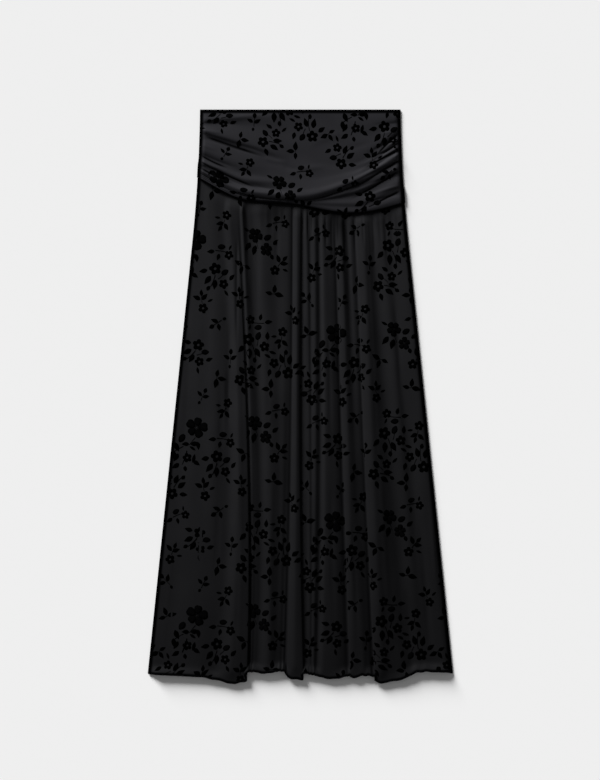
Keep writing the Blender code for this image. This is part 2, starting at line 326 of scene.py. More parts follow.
# Small gathers just below the band, then long soft drags further down.
FRONT_CREASES = rows(
    Crease,
    (-81, 141, -80, 300, 0, 2.2, 1.1),
    (-67.7, 138, -69, 340, 0, 2.4, -1.4),
    (-101, 196, -102, 400, 0, 2.6, -1.2),
    (-115.5, 420, -114, 520, 0, 2.6, -1.2),
    (-128.5, 420, -127, 560, 0, 3.0, -0.9),
    (-120, 124, -125, 200, 1, 2.6, -0.5),
    (-146, 116, -150, 190, -1, 3.6, 0.4),
    (-73, 138, -75, 196, 0, 1.8, -0.9),
    (-59, 140, -60, 236, 0, 2.0, -1.1),
    (-47, 143, -49, 210, 0, 1.8, -1.0),
    (-37, 145, -38, 262, 1, 1.9, -1.1),
    (-26, 148, -29, 204, 0, 1.6, -0.9),
    (5, 150, 5, 202, 0, 1.2, -1.0),
    (12, 152, 12, 214, 0, 1.3, -1.1),
    (19, 154, 19, 206, 0, 1.2, -0.9),
    (40, 160, 41, 232, 0, 1.6, -1.2),
    (51, 160, 52, 250, -1, 1.7, -1.2),
    (60, 162, 61, 216, 0, 1.4, -0.9),
    (69, 162, 71, 282, 1, 1.9, -1.2),
    (84, 164, 88, 236, 1, 1.8, -0.8),
    (99, 164, 102, 226, 0, 1.6, -0.8),
    (115, 160, 119, 252, 1, 1.9, -1.1),
    (125, 158, 130, 226, 0, 1.6, -1.0),
    (135, 156, 141, 262, -1, 1.9, -1.2),
    (144, 153, 149, 226, 0, 1.6, -0.9),
    (153, 150, 159, 244, 0, 1.8, -1.0),
    (-144, 262, -163, 748, -2, 4.6, -0.9),
    (-176, 330, -196, 640, 3, 6.0, -0.5),
    (-128, 420, -140, 700, -3, 5.0, 0.6),
    (-112, 330, -121, 520, 2, 3.6, -0.7),
    (-156, 600, -166, 760, 2, 3.0, -0.7),
    (-130, 630, -137, 760, 1, 2.8, -0.7),
    (-198, 700, -217, 900, 2, 4.0, -0.8),
    (-174, 740, -190, 905, -1, 4.4, 0.6),
    (-100, 620, -106, 900, 2, 4.4, -0.6),
    (-50, 330, -56, 560, 2, 3.4, -0.6),
    (-44, 560, -48, 890, -2, 3.6, 0.6),
    (7, 300, 6, 520, 1, 2.4, 0.5),
    (12, 560, 11, 860, -1, 2.6, -0.5),
    (44, 330, 48, 560, 1, 2.6, -0.7),
    (49, 590, 54, 850, -1, 3.0, -0.6),
    (82, 640, 92, 880, 1, 3.0, -0.5),
    (128, 560, 146, 840, -3, 4.6, 0.6),
    (150, 300, 160, 470, 2, 3.6, -0.7),
    (172, 480, 188, 720, 3, 5.0, -0.6),
    (201, 500, 219, 800, 1, 3.2, 1.5),
    (190, 640, 206, 880, 2, 4.6, -0.9),
    (164, 740, 176, 900, -2, 3.8, 0.6),
    (196, 700, 210, 896, 1, 4.2, -0.6),
    (148, 846, 190, 884, 3, 5.0, -0.4),
    (-206, 824, -164, 876, -3, 5.5, 0.4),
)

FRONT_RIPPLES = rows(
    Ripple,
    (61.0, 760.0, 0.4, 0.22),
    (37.0, -540.0, 2.1, 0.13),
    (150.0, 118.0, 4.0, 0.16),
    (-96.0, 83.0, 1.3, 0.1),
)

BACK_RIPPLES = rows(
    Ripple,
    (74.0, 980.0, 1.1, 0.2),
    (43.0, -610.0, 0.2, 0.12),
    (160.0, 140.0, 3.2, 0.12),
)


class Shade(NamedTuple):
    """A soft patch of painted shade on the cloth, where dense gathers would shade it."""

    x: float
    drop: float
    half_width: float
    half_drop: float
    depth: float


GATHER_SHADES = rows(
    Shade,
    (-44.0, 150.0, 36.0, 52.0, 0.48),
    (24.0, 158.0, 26.0, 38.0, 0.42),
    (60.0, 166.0, 30.0, 60.0, 0.68),
    (124.0, 158.0, 32.0, 50.0, 0.36),
    (-108.0, 196.0, 14.0, 60.0, 0.24),
)


class BandFold(NamedTuple):
    """A line of the band's drape at five even places from the left side to the right."""

    name: str
    drops: tuple[float, ...]
    rises: tuple[float, ...]


BAND_FOLDS = rows(
    BandFold,
    ("waist_edge", (0.0, 0.0, 0.0, 0.0, 0.0), (0.0, 0.0, 0.0, 0.0, 0.0)),
    ("waist_roll", (4.5, 4.5, 4.5, 4.5, 4.5), (1.5, 1.8, 1.8, 1.8, 1.5)),
    ("upper_crest", (16.0, 11.0, 15.0, 18.0, 14.0), (3.3, 2.9, 2.1, 2.2, 2.7)),
    ("upper_valley", (24.0, 24.0, 34.0, 38.0, 22.0), (1.8, 2.1, 2.4, 2.5, 1.9)),
    ("first_crest", (32.0, 54.0, 74.0, 72.0, 29.0), (4.3, 5.3, 3.5, 3.3, 3.5)),
    ("first_valley", (39.0, 64.0, 86.0, 84.0, 37.0), (1.5, 2.7, 3.7, 3.5, 1.5)),
    ("second_crest", (61.0, 88.0, 98.0, 92.0, 44.0), (4.3, 4.5, 4.4, 4.5, 4.1)),
    ("second_valley", (72.0, 102.0, 109.0, 98.0, 51.0), (1.7, 3.5, 5.1, 5.3, 1.7)),
    ("third_crest", (82.0, 112.0, 118.0, 103.5, 57.0), (4.5, 4.9, 6.1, 6.7, 4.5)),
    ("third_valley", (89.0, 121.0, 127.0, 108.5, 63.0), (2.1, 2.9, 7.3, 7.9, 2.5)),
    ("belly_crest", (95.0, 131.0, 137.0, 115.0, 70.0), (5.1, 7.5, 9.5, 9.9, 6.3)),
    ("belly_nose", (98.5, 137.0, 144.0, 122.5, 77.0), (3.9, 5.5, 6.5, 6.5, 4.3)),
    ("belly_return", (99.8, 138.4, 142.6, 120.0, 77.0), (2.7, 4.3, 4.5, 3.5, 2.7)),
    ("lower_crest", (101.2, 139.7, 145.4, 130.0, 88.0), (3.3, 4.5, 4.9, 6.7, 5.1)),
    ("lower_valley", (102.6, 140.8, 147.0, 138.0, 99.0), (2.8, 4.5, 5.1, 4.1, 2.5)),
    ("bottom_crest", (103.8, 141.8, 148.2, 149.0, 114.0), (3.3, 4.3, 4.7, 5.7, 4.7)),
    ("bottom_valley", (105.0, 142.7, 149.4, 156.0, 127.0), (2.8, 4.0, 4.5, 4.6, 2.7)),
    ("lip_crest", (106.3, 143.6, 150.8, 161.0, 140.0), (3.1, 3.7, 4.1, 4.5, 4.1)),
    ("lip_nose", (107.5, 144.5, 152.3, 164.8, 148.3), (2.6, 3.0, 3.1, 3.3, 2.9)),
    ("lip_return", (99.5, 136.5, 144.3, 156.8, 140.3), (1.6, 1.6, 1.6, 1.6, 1.6)),
)

# Puckers that run in from the band's side seams, and faint drags across its middle.
BAND_CREASES = rows(
    Crease,
    (-164, 15, -54, 7, -2, 3.6, 0.6),
    (-164, 21, -92, 24, 1, 2.2, -0.6),
    (-164, 30, -118, 38, -1, 2.0, 0.5),
    (-165, 46, -112, 58, 2, 2.4, -0.7),
    (-165, 55, -128, 66, 1, 1.9, 0.6),
    (-165, 67, -96, 94, -2, 2.6, -0.8),
    (-166, 78, -118, 98, -1, 1.9, 0.7),
    (-166, 86, -88, 117, 2, 2.1, -0.7),
    (-166, 93, -126, 113, -1, 1.6, 0.5),
    (164, 19, 112, 24, 1, 2.4, -0.5),
    (164, 27, 120, 42, 1, 1.9, 0.5),
    (165, 42, 106, 71, -2, 2.2, -0.8),
    (165, 49, 118, 72, 1, 1.7, 0.6),
    (165, 56, 92, 90, -3, 2.0, -0.8),
    (166, 66, 121, 86, 1, 1.8, 0.6),
    (166, 84, 78, 122, -4, 2.4, -0.9),
    (166, 93, 104, 115, -2, 2.0, 0.6),
    (166, 104, 62, 140, -5, 2.6, -0.8),
    (166, 120, 96, 145, -3, 2.2, 0.7),
    (166, 134, 88, 155, -2, 2.1, -0.6),
    (12, 57, 72, 36, 2, 3.8, 0.5),
    (-30, 88, 22, 98, -3, 5.0, -0.6),
    (-14, 100, 46, 92, 3, 4.5, 0.5),
    (54, 66, 118, 50, -2, 3.4, -0.5),
    (-60, 76, -18, 84, -2, 3.2, 0.5),
    (-84, 118, 20, 136, -4, 3.0, -0.5),
)

# Deep narrow creases, which are pressed in, and drawn dark with painted shade too.
BAND_LINES = rows(
    Crease,
    (-158, 40, -48, 77, -1, 1.9, -0.9),
    (-161, 71, -112, 94, -2, 1.6, -0.9),
    (-161, 81, -122, 103, -1, 1.2, -0.6),
    (-146, 90, -62, 127, -2, 1.6, -0.8),
    (-162, 91, -104, 119, -2, 1.6, -0.9),
    (160, 35, 116, 79, -1, 1.8, -0.9),
    (160, 51, 128, 72, 0, 1.3, -0.6),
    (160, 62, 96, 97, 0, 1.9, -0.9),
    (162, 79, 118, 104, 0, 1.4, -0.7),
    (162, 94, 76, 145, 2, 1.8, -0.9),
    (163, 128, 108, 156, 0, 1.7, -0.9),
)

# Painted shade along the foot of the band's belly fold, at five even places from the left side to
# the right.
BELLY_FOOT = "belly_return"
BELLY_DARK = (0.3, 0.5, 0.85, 0.9, 0.5)

BAND_RIPPLES = rows(
    Ripple,
    (190.0, 47.0, 0.9, 0.16),
    (-120.0, 31.0, 2.6, 0.09),
    (83.0, 160.0, 4.4, 0.12),
)

BAND_BACK_CREASES = rows(
    Crease,
    (-160, 30, -60, 52, 3, 4.0, 0.5),
    (-160, 58, -90, 84, 2, 3.2, 0.5),
    (-162, 84, -40, 122, 4, 4.4, 0.6),
    (162, 26, 84, 40, -3, 3.4, 0.5),
    (162, 62, 30, 98, -5, 4.6, 0.6),
    (162, 96, 70, 128, -3, 3.6, 0.5),
    (-50, 70, 40, 80, -3, 5.0, 0.4),
)

SKIRT_BACK_CREASES = rows(
    Crease,
    (-112, 150, -126, 560, 3, 6.0, 0.9),
    (-66, 160, -88, 760, -4, 7.0, 1.2),
    (-20, 165, -26, 620, 3, 5.5, 1.0),
    (18, 170, 24, 800, -3, 6.5, 1.1),
    (58, 172, 74, 540, 2, 5.0, 0.8),
    (96, 170, 128, 840, 4, 7.5, 1.2),
    (138, 165, 168, 620, -3, 5.5, 0.8),
    (-150, 420, -186, 880, 2, 6.5, 0.7),
    (-44, 420, -50, 880, 2, 6.0, 0.9),
    (52, 560, 58, 890, -1, 5.5, 0.8),
    (186, 560, 214, 880, 2, 6.0, 0.6),
)


class Cut(NamedTuple):
    """What shows of a panel as it was cut, in metres, and how it lies."""

    width: float
    length: float
    area: float
    held: str
    rests_on: tuple[str, ...] = ()


@dataclass
class Panel:
    """A cut panel of cloth: a surface with two directions, line (the slow one) and param.

    Flat places are measured along each line of the surface, so that a print laid out on the
    flat panel follows its folds.
    """

    node: str
    slot: str
    relief: Relief
    columns: int
    rows: int
    cut: Cut
    print_shift: tuple[float, float]
    hem_finish: "Hem | None" = None
    side: Side = Side.FRONT
    thickness: float = 1.0
    rim: float = 0.55
    rim_steps: int = 3
    # Painted shade in strips along the sides and the waist, then along the hem: where each strip
    # starts to fade, and where it is gone.
    edge_shade_start: float = 3.6
    edge_shade_end: float = 7.2
    hem_start: float = 1.8
    hem_end: float = 4.4
    waist_rim: bool = False
    slope_steps: tuple[float, float] = (0.0008, 0.5)
    side_columns: tuple[float, ...] = ()
    hem_rows: tuple[float, ...] = ()
    table: "ArcTable | None" = None

    def surface(self, u: np.ndarray, v: np.ndarray) -> np.ndarray:
        """Points on the panel's middle, from two shares that run 0 to 1 across and down it."""
        raise NotImplementedError

    def flat_grid(self, points: np.ndarray) -> np.ndarray:
        """The distance along the cloth of each point of a grid, across it and down it.

        Args:
            points: the grid, its rows down the panel and its columns across it.

        Returns:
            The grid's flat places, s from the middle column and t from the first row.
        """
        s = walked(points, axis=1)
        s = s - s[:, s.shape[1] // 2][:, None]
        return np.stack([s, walked(points)], axis=-1)

    def shares(self) -> tuple[np.ndarray, np.ndarray]:
        """The grid's shares across and down, closer together near the panel's sides and hem."""
        near = np.array(self.side_columns) / self.columns
        u = np.unique(np.concatenate([np.linspace(0.0, 1.0, self.columns + 1), near, 1.0 - near]))
        low = 1.0 - np.array(self.hem_rows) / self.rows
        v = np.unique(np.concatenate([np.linspace(0.0, 1.0, self.rows + 1), low]))
        return np.meshgrid(u, v)

    def grid(self) -> np.ndarray:
        """The panel's middle surface as a grid of points, rows by columns."""
        u, v = self.shares()
        return on_grid(self.surface, u, v)

    def turned(
        self, points: np.ndarray, axis: int, at_end: bool, out: Sequence[float]
    ) -> np.ndarray:
        """Adds a rim that turns in towards the other side of the skirt, as a seam does.

        Args:
            points: the grid to add to.
            axis: 0 to add rows, 1 to add columns.
            at_end: adds after the grid's last row or column, not before its first.
            out: the way out of the panel, over its edge.

        Returns:
            The grid with its rim.
        """
        edge = np.take(points, [-1 if at_end else 0], axis=axis)
        steps = []
        for step in range(1, self.rim_steps + 1):
            angle = math.pi / 2 * step / self.rim_steps
            move = np.asarray(out) * self.rim * math.sin(angle)
            move = move + np.array([0.0, 0.0, -self.side.value * self.rim * (1 - math.cos(angle))])
            steps.append(edge + move)
        parts = [points] + steps if at_end else steps[::-1] + [points]
        return np.concatenate(parts, axis=axis)

    def build(self, material: bpy.types.Material) -> bpy.types.Object:
        """Builds the panel as a wall of cloth.

        Args:
            material: the cloth's finish.

        Returns:
            The panel's object.
        """
        points = self.rimmed(self.grid())
        flat = self.flat_grid(points)
        rows, columns = points.shape[:2]
        index = np.arange(rows * columns).reshape(rows, columns)
        quads = np.stack(
            [index[:-1, :-1], index[1:, :-1], index[1:, 1:], index[:-1, 1:]], axis=-1
        ).reshape(-1, 4)
        mesh = bpy.data.meshes.new(self.node + "_cloth")
        mesh.from_pydata((points.reshape(-1, 3) * MM).tolist(), [], quads.tolist())
        threads = mesh.uv_layers.new(name="threads")
        corners = np.empty(len(mesh.loops), dtype=np.int32)
        mesh.loops.foreach_get("vertex_index", corners)
        threads.data.foreach_set("uv", (flat.reshape(-1, 2) * MM)[corners].ravel())
        # Painted shade at each point, from 0 to 1, which the cloth's finish reads.
        painted_shade = mesh.attributes.new("painted_shade", "FLOAT", "POINT")
        painted_shade.data.foreach_set("value", self.painted_shade(points.reshape(-1, 3)))
        mesh.shade_smooth()
        piece = linked(mesh.name, mesh)
        wall = piece.modifiers.new("Wall", "SOLIDIFY")
        wall.thickness = self.thickness * MM
        wall.offset = 0.0
        Bench.apply(piece, wall)
        mesh.materials.append(material)
        return piece

    def painted_shade(self, points: np.ndarray) -> np.ndarray:
        """How dark points are drawn with painted shade: in the strips along the edges and the hem,
        and wherever shaded says.
        """
        drop = OUTLINE.length / 2 - points[:, 1]
        aside = OUTLINE.half_width(drop) - np.abs(points[:, 0])
        edge = np.minimum(aside, drop)
        strip = 1.0 - smooth((edge - self.edge_shade_start) / (self.edge_shade_end - self.edge_shade_start))
        above = self.above_hem(points) - self.hem_start
        strip = np.maximum(strip, 1.0 - smooth(above / (self.hem_end - self.hem_start)))
        return np.maximum(strip, self.shaded(points[:, 0], drop))

    def shaded(self, x: np.ndarray, drop: np.ndarray) -> np.ndarray:
        """How dark folds and creases are drawn with painted shade at points of the panel's own
        grid.
        """
        return self.relief.dark(x, drop)

    def above_hem(self, points: np.ndarray) -> np.ndarray:
        """How far points are above the panel's hem, or a large distance where it has none."""
        return np.full(len(points), OUTLINE.length)

    def rimmed(self, points: np.ndarray) -> np.ndarray:
        """The grid with a turned rim at each side seam, and along the waist if it has one."""
        points = self.turned(points, 1, False, (-1.0, 0.0, 0.0))
        points = self.turned(points, 1, True, (1.0, 0.0, 0.0))
        return self.turned(points, 0, False, (0.0, 1.0, 0.0)) if self.waist_rim else points

    def prepare(self) -> None:
        """Measures the panel, so that flat places can be found on it."""
        raise NotImplementedError

    def locate(self, s: np.ndarray, t: np.ndarray) -> tuple[np.ndarray, np.ndarray]:
        """The surface's own two shares at flat places."""
        raise NotImplementedError

    def placed(self, first: np.ndarray, second: np.ndarray) -> np.ndarray:
        """Points on the panel, from what locate gives."""
        return self.surface(first, second)

    def margins(self, s: np.ndarray, t: np.ndarray) -> np.ndarray:
        """How far inside each of the panel's edges flat places are, one row for each edge."""
        raise NotImplementedError

    def flat_size(self) -> tuple[float, float]:
        """How far the flat panel reaches across and down."""
        raise NotImplementedError


@dataclass
class ArcTable:
    """Distances along the cloth on lines of a surface, to find a place by its distance."""

    lines: np.ndarray
    params: np.ndarray
    arcs: np.ndarray

    @classmethod
    def measure(
        cls, lines: np.ndarray, params: np.ndarray, points: np.ndarray, middle: float | np.ndarray
    ) -> "ArcTable":
        """Measures the cloth.

        Args:
            lines: the surface's slow share on each line.
            params: its quick share at each point of a line.
            points: the surface's points, lines by params.
            middle: the quick share from which each line's distance is counted.

        Returns:
            The table.
        """
        arcs = walked(points, axis=1)
        starts = np.broadcast_to(middle, (len(lines),))
        zero = np.array([np.interp(start, params, row) for start, row in zip(starts, arcs)])
        return cls(lines, params, arcs - zero[:, None])

    def scaled(self, factors: np.ndarray) -> "ArcTable":
        """The table with each line's distances multiplied by a factor of its own."""
        return ArcTable(self.lines, self.params, self.arcs * factors[:, None])

    def param(self, line: np.ndarray, arc: np.ndarray) -> np.ndarray:
        """The quick share at a distance along a line.

        Args:
            line: places on the slow share.
            arc: distances along the cloth there.

        Returns:
            The quick share at each place.
        """
        place = np.interp(line, self.lines, np.arange(len(self.lines)))
        low = np.clip(place.astype(int), 0, len(self.lines) - 2)
        share = place - low
        result = np.empty_like(arc)
        for row in np.unique(low):
            chosen = low == row
            first = np.interp(arc[chosen], self.arcs[row], self.params)
            second = np.interp(arc[chosen], self.arcs[row + 1], self.params)
            result[chosen] = first + (second - first) * share[chosen]
        return result

    def ends(self, line: np.ndarray) -> tuple[np.ndarray, np.ndarray]:
        """The distances at which a line starts and ends."""
        return (
            np.interp(line, self.lines, self.arcs[:, 0]),
            np.interp(line, self.lines, self.arcs[:, -1]),
        )


@dataclass
class SkirtFront(Panel):
    """The gathered front: long folds that fan out from the band, some doubled over."""

    height: float = 2.1
    gather_lead: float = 3.0
    gather_rise: float = 22.0
    folds_start: float = 165.0
    folds_middle: float = 0.44
    row_crowding: float = 1.25
    hem_margin: float = 2.6
    hem_level: float = 8.3
    hem_sink: float = 0.11
    hem_curl: float = 16.0
    hem_dip: float = 24.0
    # Painted shadow under the band's lip, and how far down it reaches; and how far, in folds, the
    # painted shade at a fold's foot spreads.
    lip_dark: float = 0.85
    lip_reach: float = 5.0
    line_reach: float = 0.65
    lip_margin: float = 5.0
    edge_margin: float = 1.2
    table_step: float = 6.0
    table_columns: int = 900
    hem_waves: tuple[tuple[float, float, float], ...] = ((0.55, 171.0, 0.0), (0.35, 297.0, 1.0))
    wave_fade: float = 0.03
    edge_ease: float = 14.0
    deepest_dip: float = 0.35
    table_start: float = 80.0

    def folds(self, u: np.ndarray) -> np.ndarray:
        """Places among the folds, counted in folds from 0."""
        return u * (len(FRONT_FOLDS) - 1)

    def down_fold(self, stated: Callable[[FrontFold], tuple], share: np.ndarray) -> np.ndarray:
        """Each fold's value down its length: a bow through its three stated values."""
        rows = []
        for fold in FRONT_FOLDS:
            top, middle, hem = stated(fold)
            split = self.folds_middle
            bow = (middle - top - (hem - top) * split) / (split * (split - 1))
            rows.append(top + (hem - top - bow) * share + bow * share**2)
        return np.array(rows)

    def share_down(self, drop: np.ndarray) -> np.ndarray:
        """How far down the folds' length drops are, from 0 to 1."""
        return np.clip((drop - self.folds_start) / (OUTLINE.hem_drop - self.folds_start), 0.0, 1.0)

    def hem(self, u: np.ndarray) -> np.ndarray:
        """The hem's drop, with the small waves of a narrow rolled edge."""
        place = self.folds(u)
        even = curve_through([fold.hem_drop for fold in FRONT_FOLDS], place)
        wave = sum(size * np.sin(u * pace + phase) for size, pace, phase in self.hem_waves)
        return even + wave * smooth(u / self.wave_fade) * smooth((1 - u) / self.wave_fade)

    def lip(self, u: np.ndarray) -> np.ndarray:
        """The drop of the band's lip above each fold."""
        tops = curve_through([fold.across[0] for fold in FRONT_FOLDS], self.folds(u))
        return OUTLINE.lip_drop(tops)

    def placed(self, u: np.ndarray, drop: np.ndarray) -> np.ndarray:
        """Points on the front.

        Args:
            u: shares across the folds.
            drop: places down the skirt.

        Returns:
            The points of the front's middle surface.
        """
        place = self.folds(u)
        share = self.share_down(drop)
        across = curve_through(self.down_fold(lambda fold: fold.across, share), place)
        rise = curve_through(self.down_fold(lambda fold: fold.rise, share), place)
        gathered = smooth((drop - self.lip(u) + self.gather_lead) / self.gather_rise)
        x = across * (OUTLINE.half_width(drop) - self.rim)
        soft = smooth((1 - np.abs(across)) * OUTLINE.half_width(drop) / self.edge_ease)
        relief = self.relief.height(x, drop) * soft * gathered
        height = self.height + rise * gathered + relief
        height = np.maximum(height, self.height - self.deepest_dip * soft)
        return OUTLINE.points(x, drop, height + self.hem_lean(u, drop, height) * soft)

    def hem_lean(self, u: np.ndarray, drop: np.ndarray, height: np.ndarray) -> np.ndarray:
        """How far the hem curls up off the table, or dips to it at the end of a high fold.

        Args:
            u: shares across the folds.
            drop: places down the skirt.
            height: the front's height there.

        Returns:
            The height to add.
        """
        hem = self.hem(u)
        level = self.hem_level - self.hem_sink * (hem - OUTLINE.hem_drop)
        up = np.maximum(level - height, 0.0) * smooth(1.0 - (hem - drop) / self.hem_curl)
        return up + np.minimum(level - height, 0.0) * smooth(1.0 - (hem - drop) / self.hem_dip)

    def surface(self, u: np.ndarray, v: np.ndarray) -> np.ndarray:
        """Points from under the band, v = 0, to the hem, v = 1."""
        top = self.lip(u) - OUTLINE.tuck
        return self.placed(u, top + (self.hem(u) - top) * v**self.row_crowding)

    def prepare(self) -> None:
        """Measures the folds on level lines, from the middle fold outwards."""
        drops = np.arange(self.table_start, OUTLINE.length + 2 * self.table_step, self.table_step)
        u = np.linspace(0.0, 1.0, self.table_columns + 1)
        grid_u, grid_drop = np.meshgrid(u, drops)
        points = on_grid(self.placed, grid_u, grid_drop)
        names = [fold.name for fold in FRONT_FOLDS]
        middle = names.index("tube_crest") / (len(names) - 1)
        self.table = ArcTable.measure(drops, u, points, middle)

    def locate(self, s: np.ndarray, t: np.ndarray) -> tuple[np.ndarray, np.ndarray]:
        """The share across the folds and the drop at flat places."""
        return self.table.param(t, s), t

    def margins(self, s: np.ndarray, t: np.ndarray) -> np.ndarray:
        """How far inside the lip, the hem and the two sides flat places are."""
        u, drop = self.locate(s, t)
        first, last = self.table.ends(t)
        return np.array([
            drop - self.lip(u) + self.lip_margin,
            self.hem(u) - self.hem_margin - drop,
            s - first - self.edge_margin,
            last - s - self.edge_margin,
        ])

    def shaded(self, x: np.ndarray, drop: np.ndarray) -> np.ndarray:
        """How much painted shade the gathers, the folds' feet and the band's lip put on the grid's
        points.
        """
        across = np.clip(x / OUTLINE.half_width(drop), -1.0, 1.0)
        below = drop - OUTLINE.lip_drop(across)
        total = self.lip_dark * (1.0 - smooth(below / self.lip_reach))
        for shade in GATHER_SHADES:
            aside, down = (x - shade.x) / shade.half_width, (drop - shade.drop) / shade.half_drop
            total = np.maximum(total, shade.depth * (1.0 - smooth(np.hypot(aside, down))))
        u = np.pad(self.shares()[0], ((0, 0), (self.rim_steps, self.rim_steps)), mode="edge")
        place = self.folds(u).ravel()
        share = self.share_down(drop)
        names = [fold.name for fold in FRONT_FOLDS]
        for name, depths in FOLD_LINES.items():
            depth = np.interp(share, (0.0, self.folds_middle, 1.0), depths)
            off = np.abs(place - names.index(name)) / self.line_reach
            total = np.maximum(total, depth * (1.0 - smooth(off)))
        return total

    def above_hem(self, points: np.ndarray) -> np.ndarray:
        """How far points are above the hem, on the panel's own grid."""
        drops = (OUTLINE.length / 2 - points[:, 1]).reshape(len(self.shares()[1]), -1)
        return (drops[-1] - drops).ravel()

    def flat_size(self) -> tuple[float, float]:
        """The front's greatest width along its folds, and the skirt's length."""
        first, last = self.table.ends(np.array([OUTLINE.hem_drop]))
        return float(last[0] - first[0]), OUTLINE.length


@dataclass
class BandFront(Panel):
    """The draped front of the waist band, ruched at its sides, with a turned-in lip."""

    waist_rim: bool = True
    slope_steps: tuple[float, float] = (0.0015, 0.0015)
    height: float = 2.1
    lap_height: float = 3.7
    lap_ramp: float = 14.0
    lap_margin: float = 2.0
    side_turn: float = 9.0
    print_half: float = 166.0
    lip_share: float = 0.965
    # Painted shade where the band's lip turns under, and how far up from the lip it reaches; and
    # how far, in folds, the painted shade at the belly fold's foot spreads.
    lip_dark: float = 0.85
    lip_reach: float = 3.2
    foot_reach: float = 1.1
    edge_margin: float = 1.2
    waist_margin: float = 1.5
    table_lines: int = 120
    table_points: int = 700
    lap_spread: float = 0.9
    waist_ease: float = 7.0
    lip_ease: float = 0.08

    def surface(self, u: np.ndarray, v: np.ndarray) -> np.ndarray:
        """Points from the left side to the right, and from the waist edge to the lip's return."""
        across = 2 * u - 1
        place = v * (len(BAND_FOLDS) - 1)
        station = u * (len(BAND_FOLDS[0].drops) - 1)
        drop = curve_through([curve_through(f.drops, station) for f in BAND_FOLDS], place)
        rise = curve_through([curve_through(f.rises, station) for f in BAND_FOLDS], place)
        skirt_top = OUTLINE.lip_drop(across) - OUTLINE.tuck
        climb = smooth((drop - skirt_top + self.lap_margin + self.lap_ramp) / self.lap_ramp)
        seam_rise = (self.lap_height - self.height) * climb
        half = OUTLINE.half_width(drop)
        turn = smooth((1 - np.abs(across)) * half / self.side_turn)
        x = across * (half - self.rim + self.lap_spread * climb)
        ease = smooth(drop / self.waist_ease) * smooth((self.lip_share - v) / self.lip_ease)
        relief = self.relief.height(x, drop) * turn * ease
        height = self.height + seam_rise + np.maximum(rise - seam_rise, 0.0) * turn + relief
        return OUTLINE.points(x, drop, height)

    def shaded(self, x: np.ndarray, drop: np.ndarray) -> np.ndarray:
        """How much painted shade the deep creases, the belly fold's foot and the turn of the lip
        put on the grid's points.
        """
        across = np.clip(x / OUTLINE.half_width(drop), -1.0, 1.0)
        above = OUTLINE.lip_drop(across) - drop
        lip = self.lip_dark * (1.0 - smooth(above / self.lip_reach))
        pads = ((self.rim_steps, 0), (self.rim_steps, self.rim_steps))
        u, v = (np.pad(share, pads, mode="edge").ravel() for share in self.shares())
        foot = [fold.name for fold in BAND_FOLDS].index(BELLY_FOOT)
        off = np.abs(v * (len(BAND_FOLDS) - 1) - foot) / self.foot_reach
        belly = curve_through(BELLY_DARK, u * (len(BELLY_DARK) - 1)) * (1.0 - smooth(off))
        return np.maximum(np.maximum(lip, belly), super().shaded(x, drop))

    def prepare(self) -> None:
        """Measures the drape down the band, evened out between its sides and its middle."""
        u = np.linspace(0.0, 1.0, self.table_lines + 1)
        v = np.linspace(0.0, 1.0, self.table_points + 1)
        grid_v, grid_u = np.meshgrid(v, u)
        points = on_grid(self.surface, grid_u, grid_v)
        table = ArcTable.measure(u, v, points, 0.0)
        whole = table.arcs[:, -1]
        self.table = table.scaled(np.sqrt(whole.max() / whole))

    def locate(self, s: np.ndarray, t: np.ndarray) -> tuple[np.ndarray, np.ndarray]:
        """The shares across and down the band at flat places."""
        u = np.clip((s / self.print_half + 1) / 2, 0.0, 1.0)
        return u, self.table.param(u, t)

    def margins(self, s: np.ndarray, t: np.ndarray) -> np.ndarray:
        """How far inside the sides, the waist edge and the lip flat places are."""
        u = np.clip((s / self.print_half + 1) / 2, 0.0, 1.0)
        lip = np.array([
            np.interp(self.lip_share, self.table.params, row) for row in self.table.arcs
        ])
        return np.array([
            self.print_half - self.edge_margin + s,
            self.print_half - self.edge_margin - s,
            t - self.waist_margin,
            np.interp(u, self.table.lines, lip) - t,
        ])

    def flat_size(self) -> tuple[float, float]:
        """The band's width, and its greatest depth along its folds."""
        return 2 * self.print_half, float(self.table.arcs[:, -1].max())


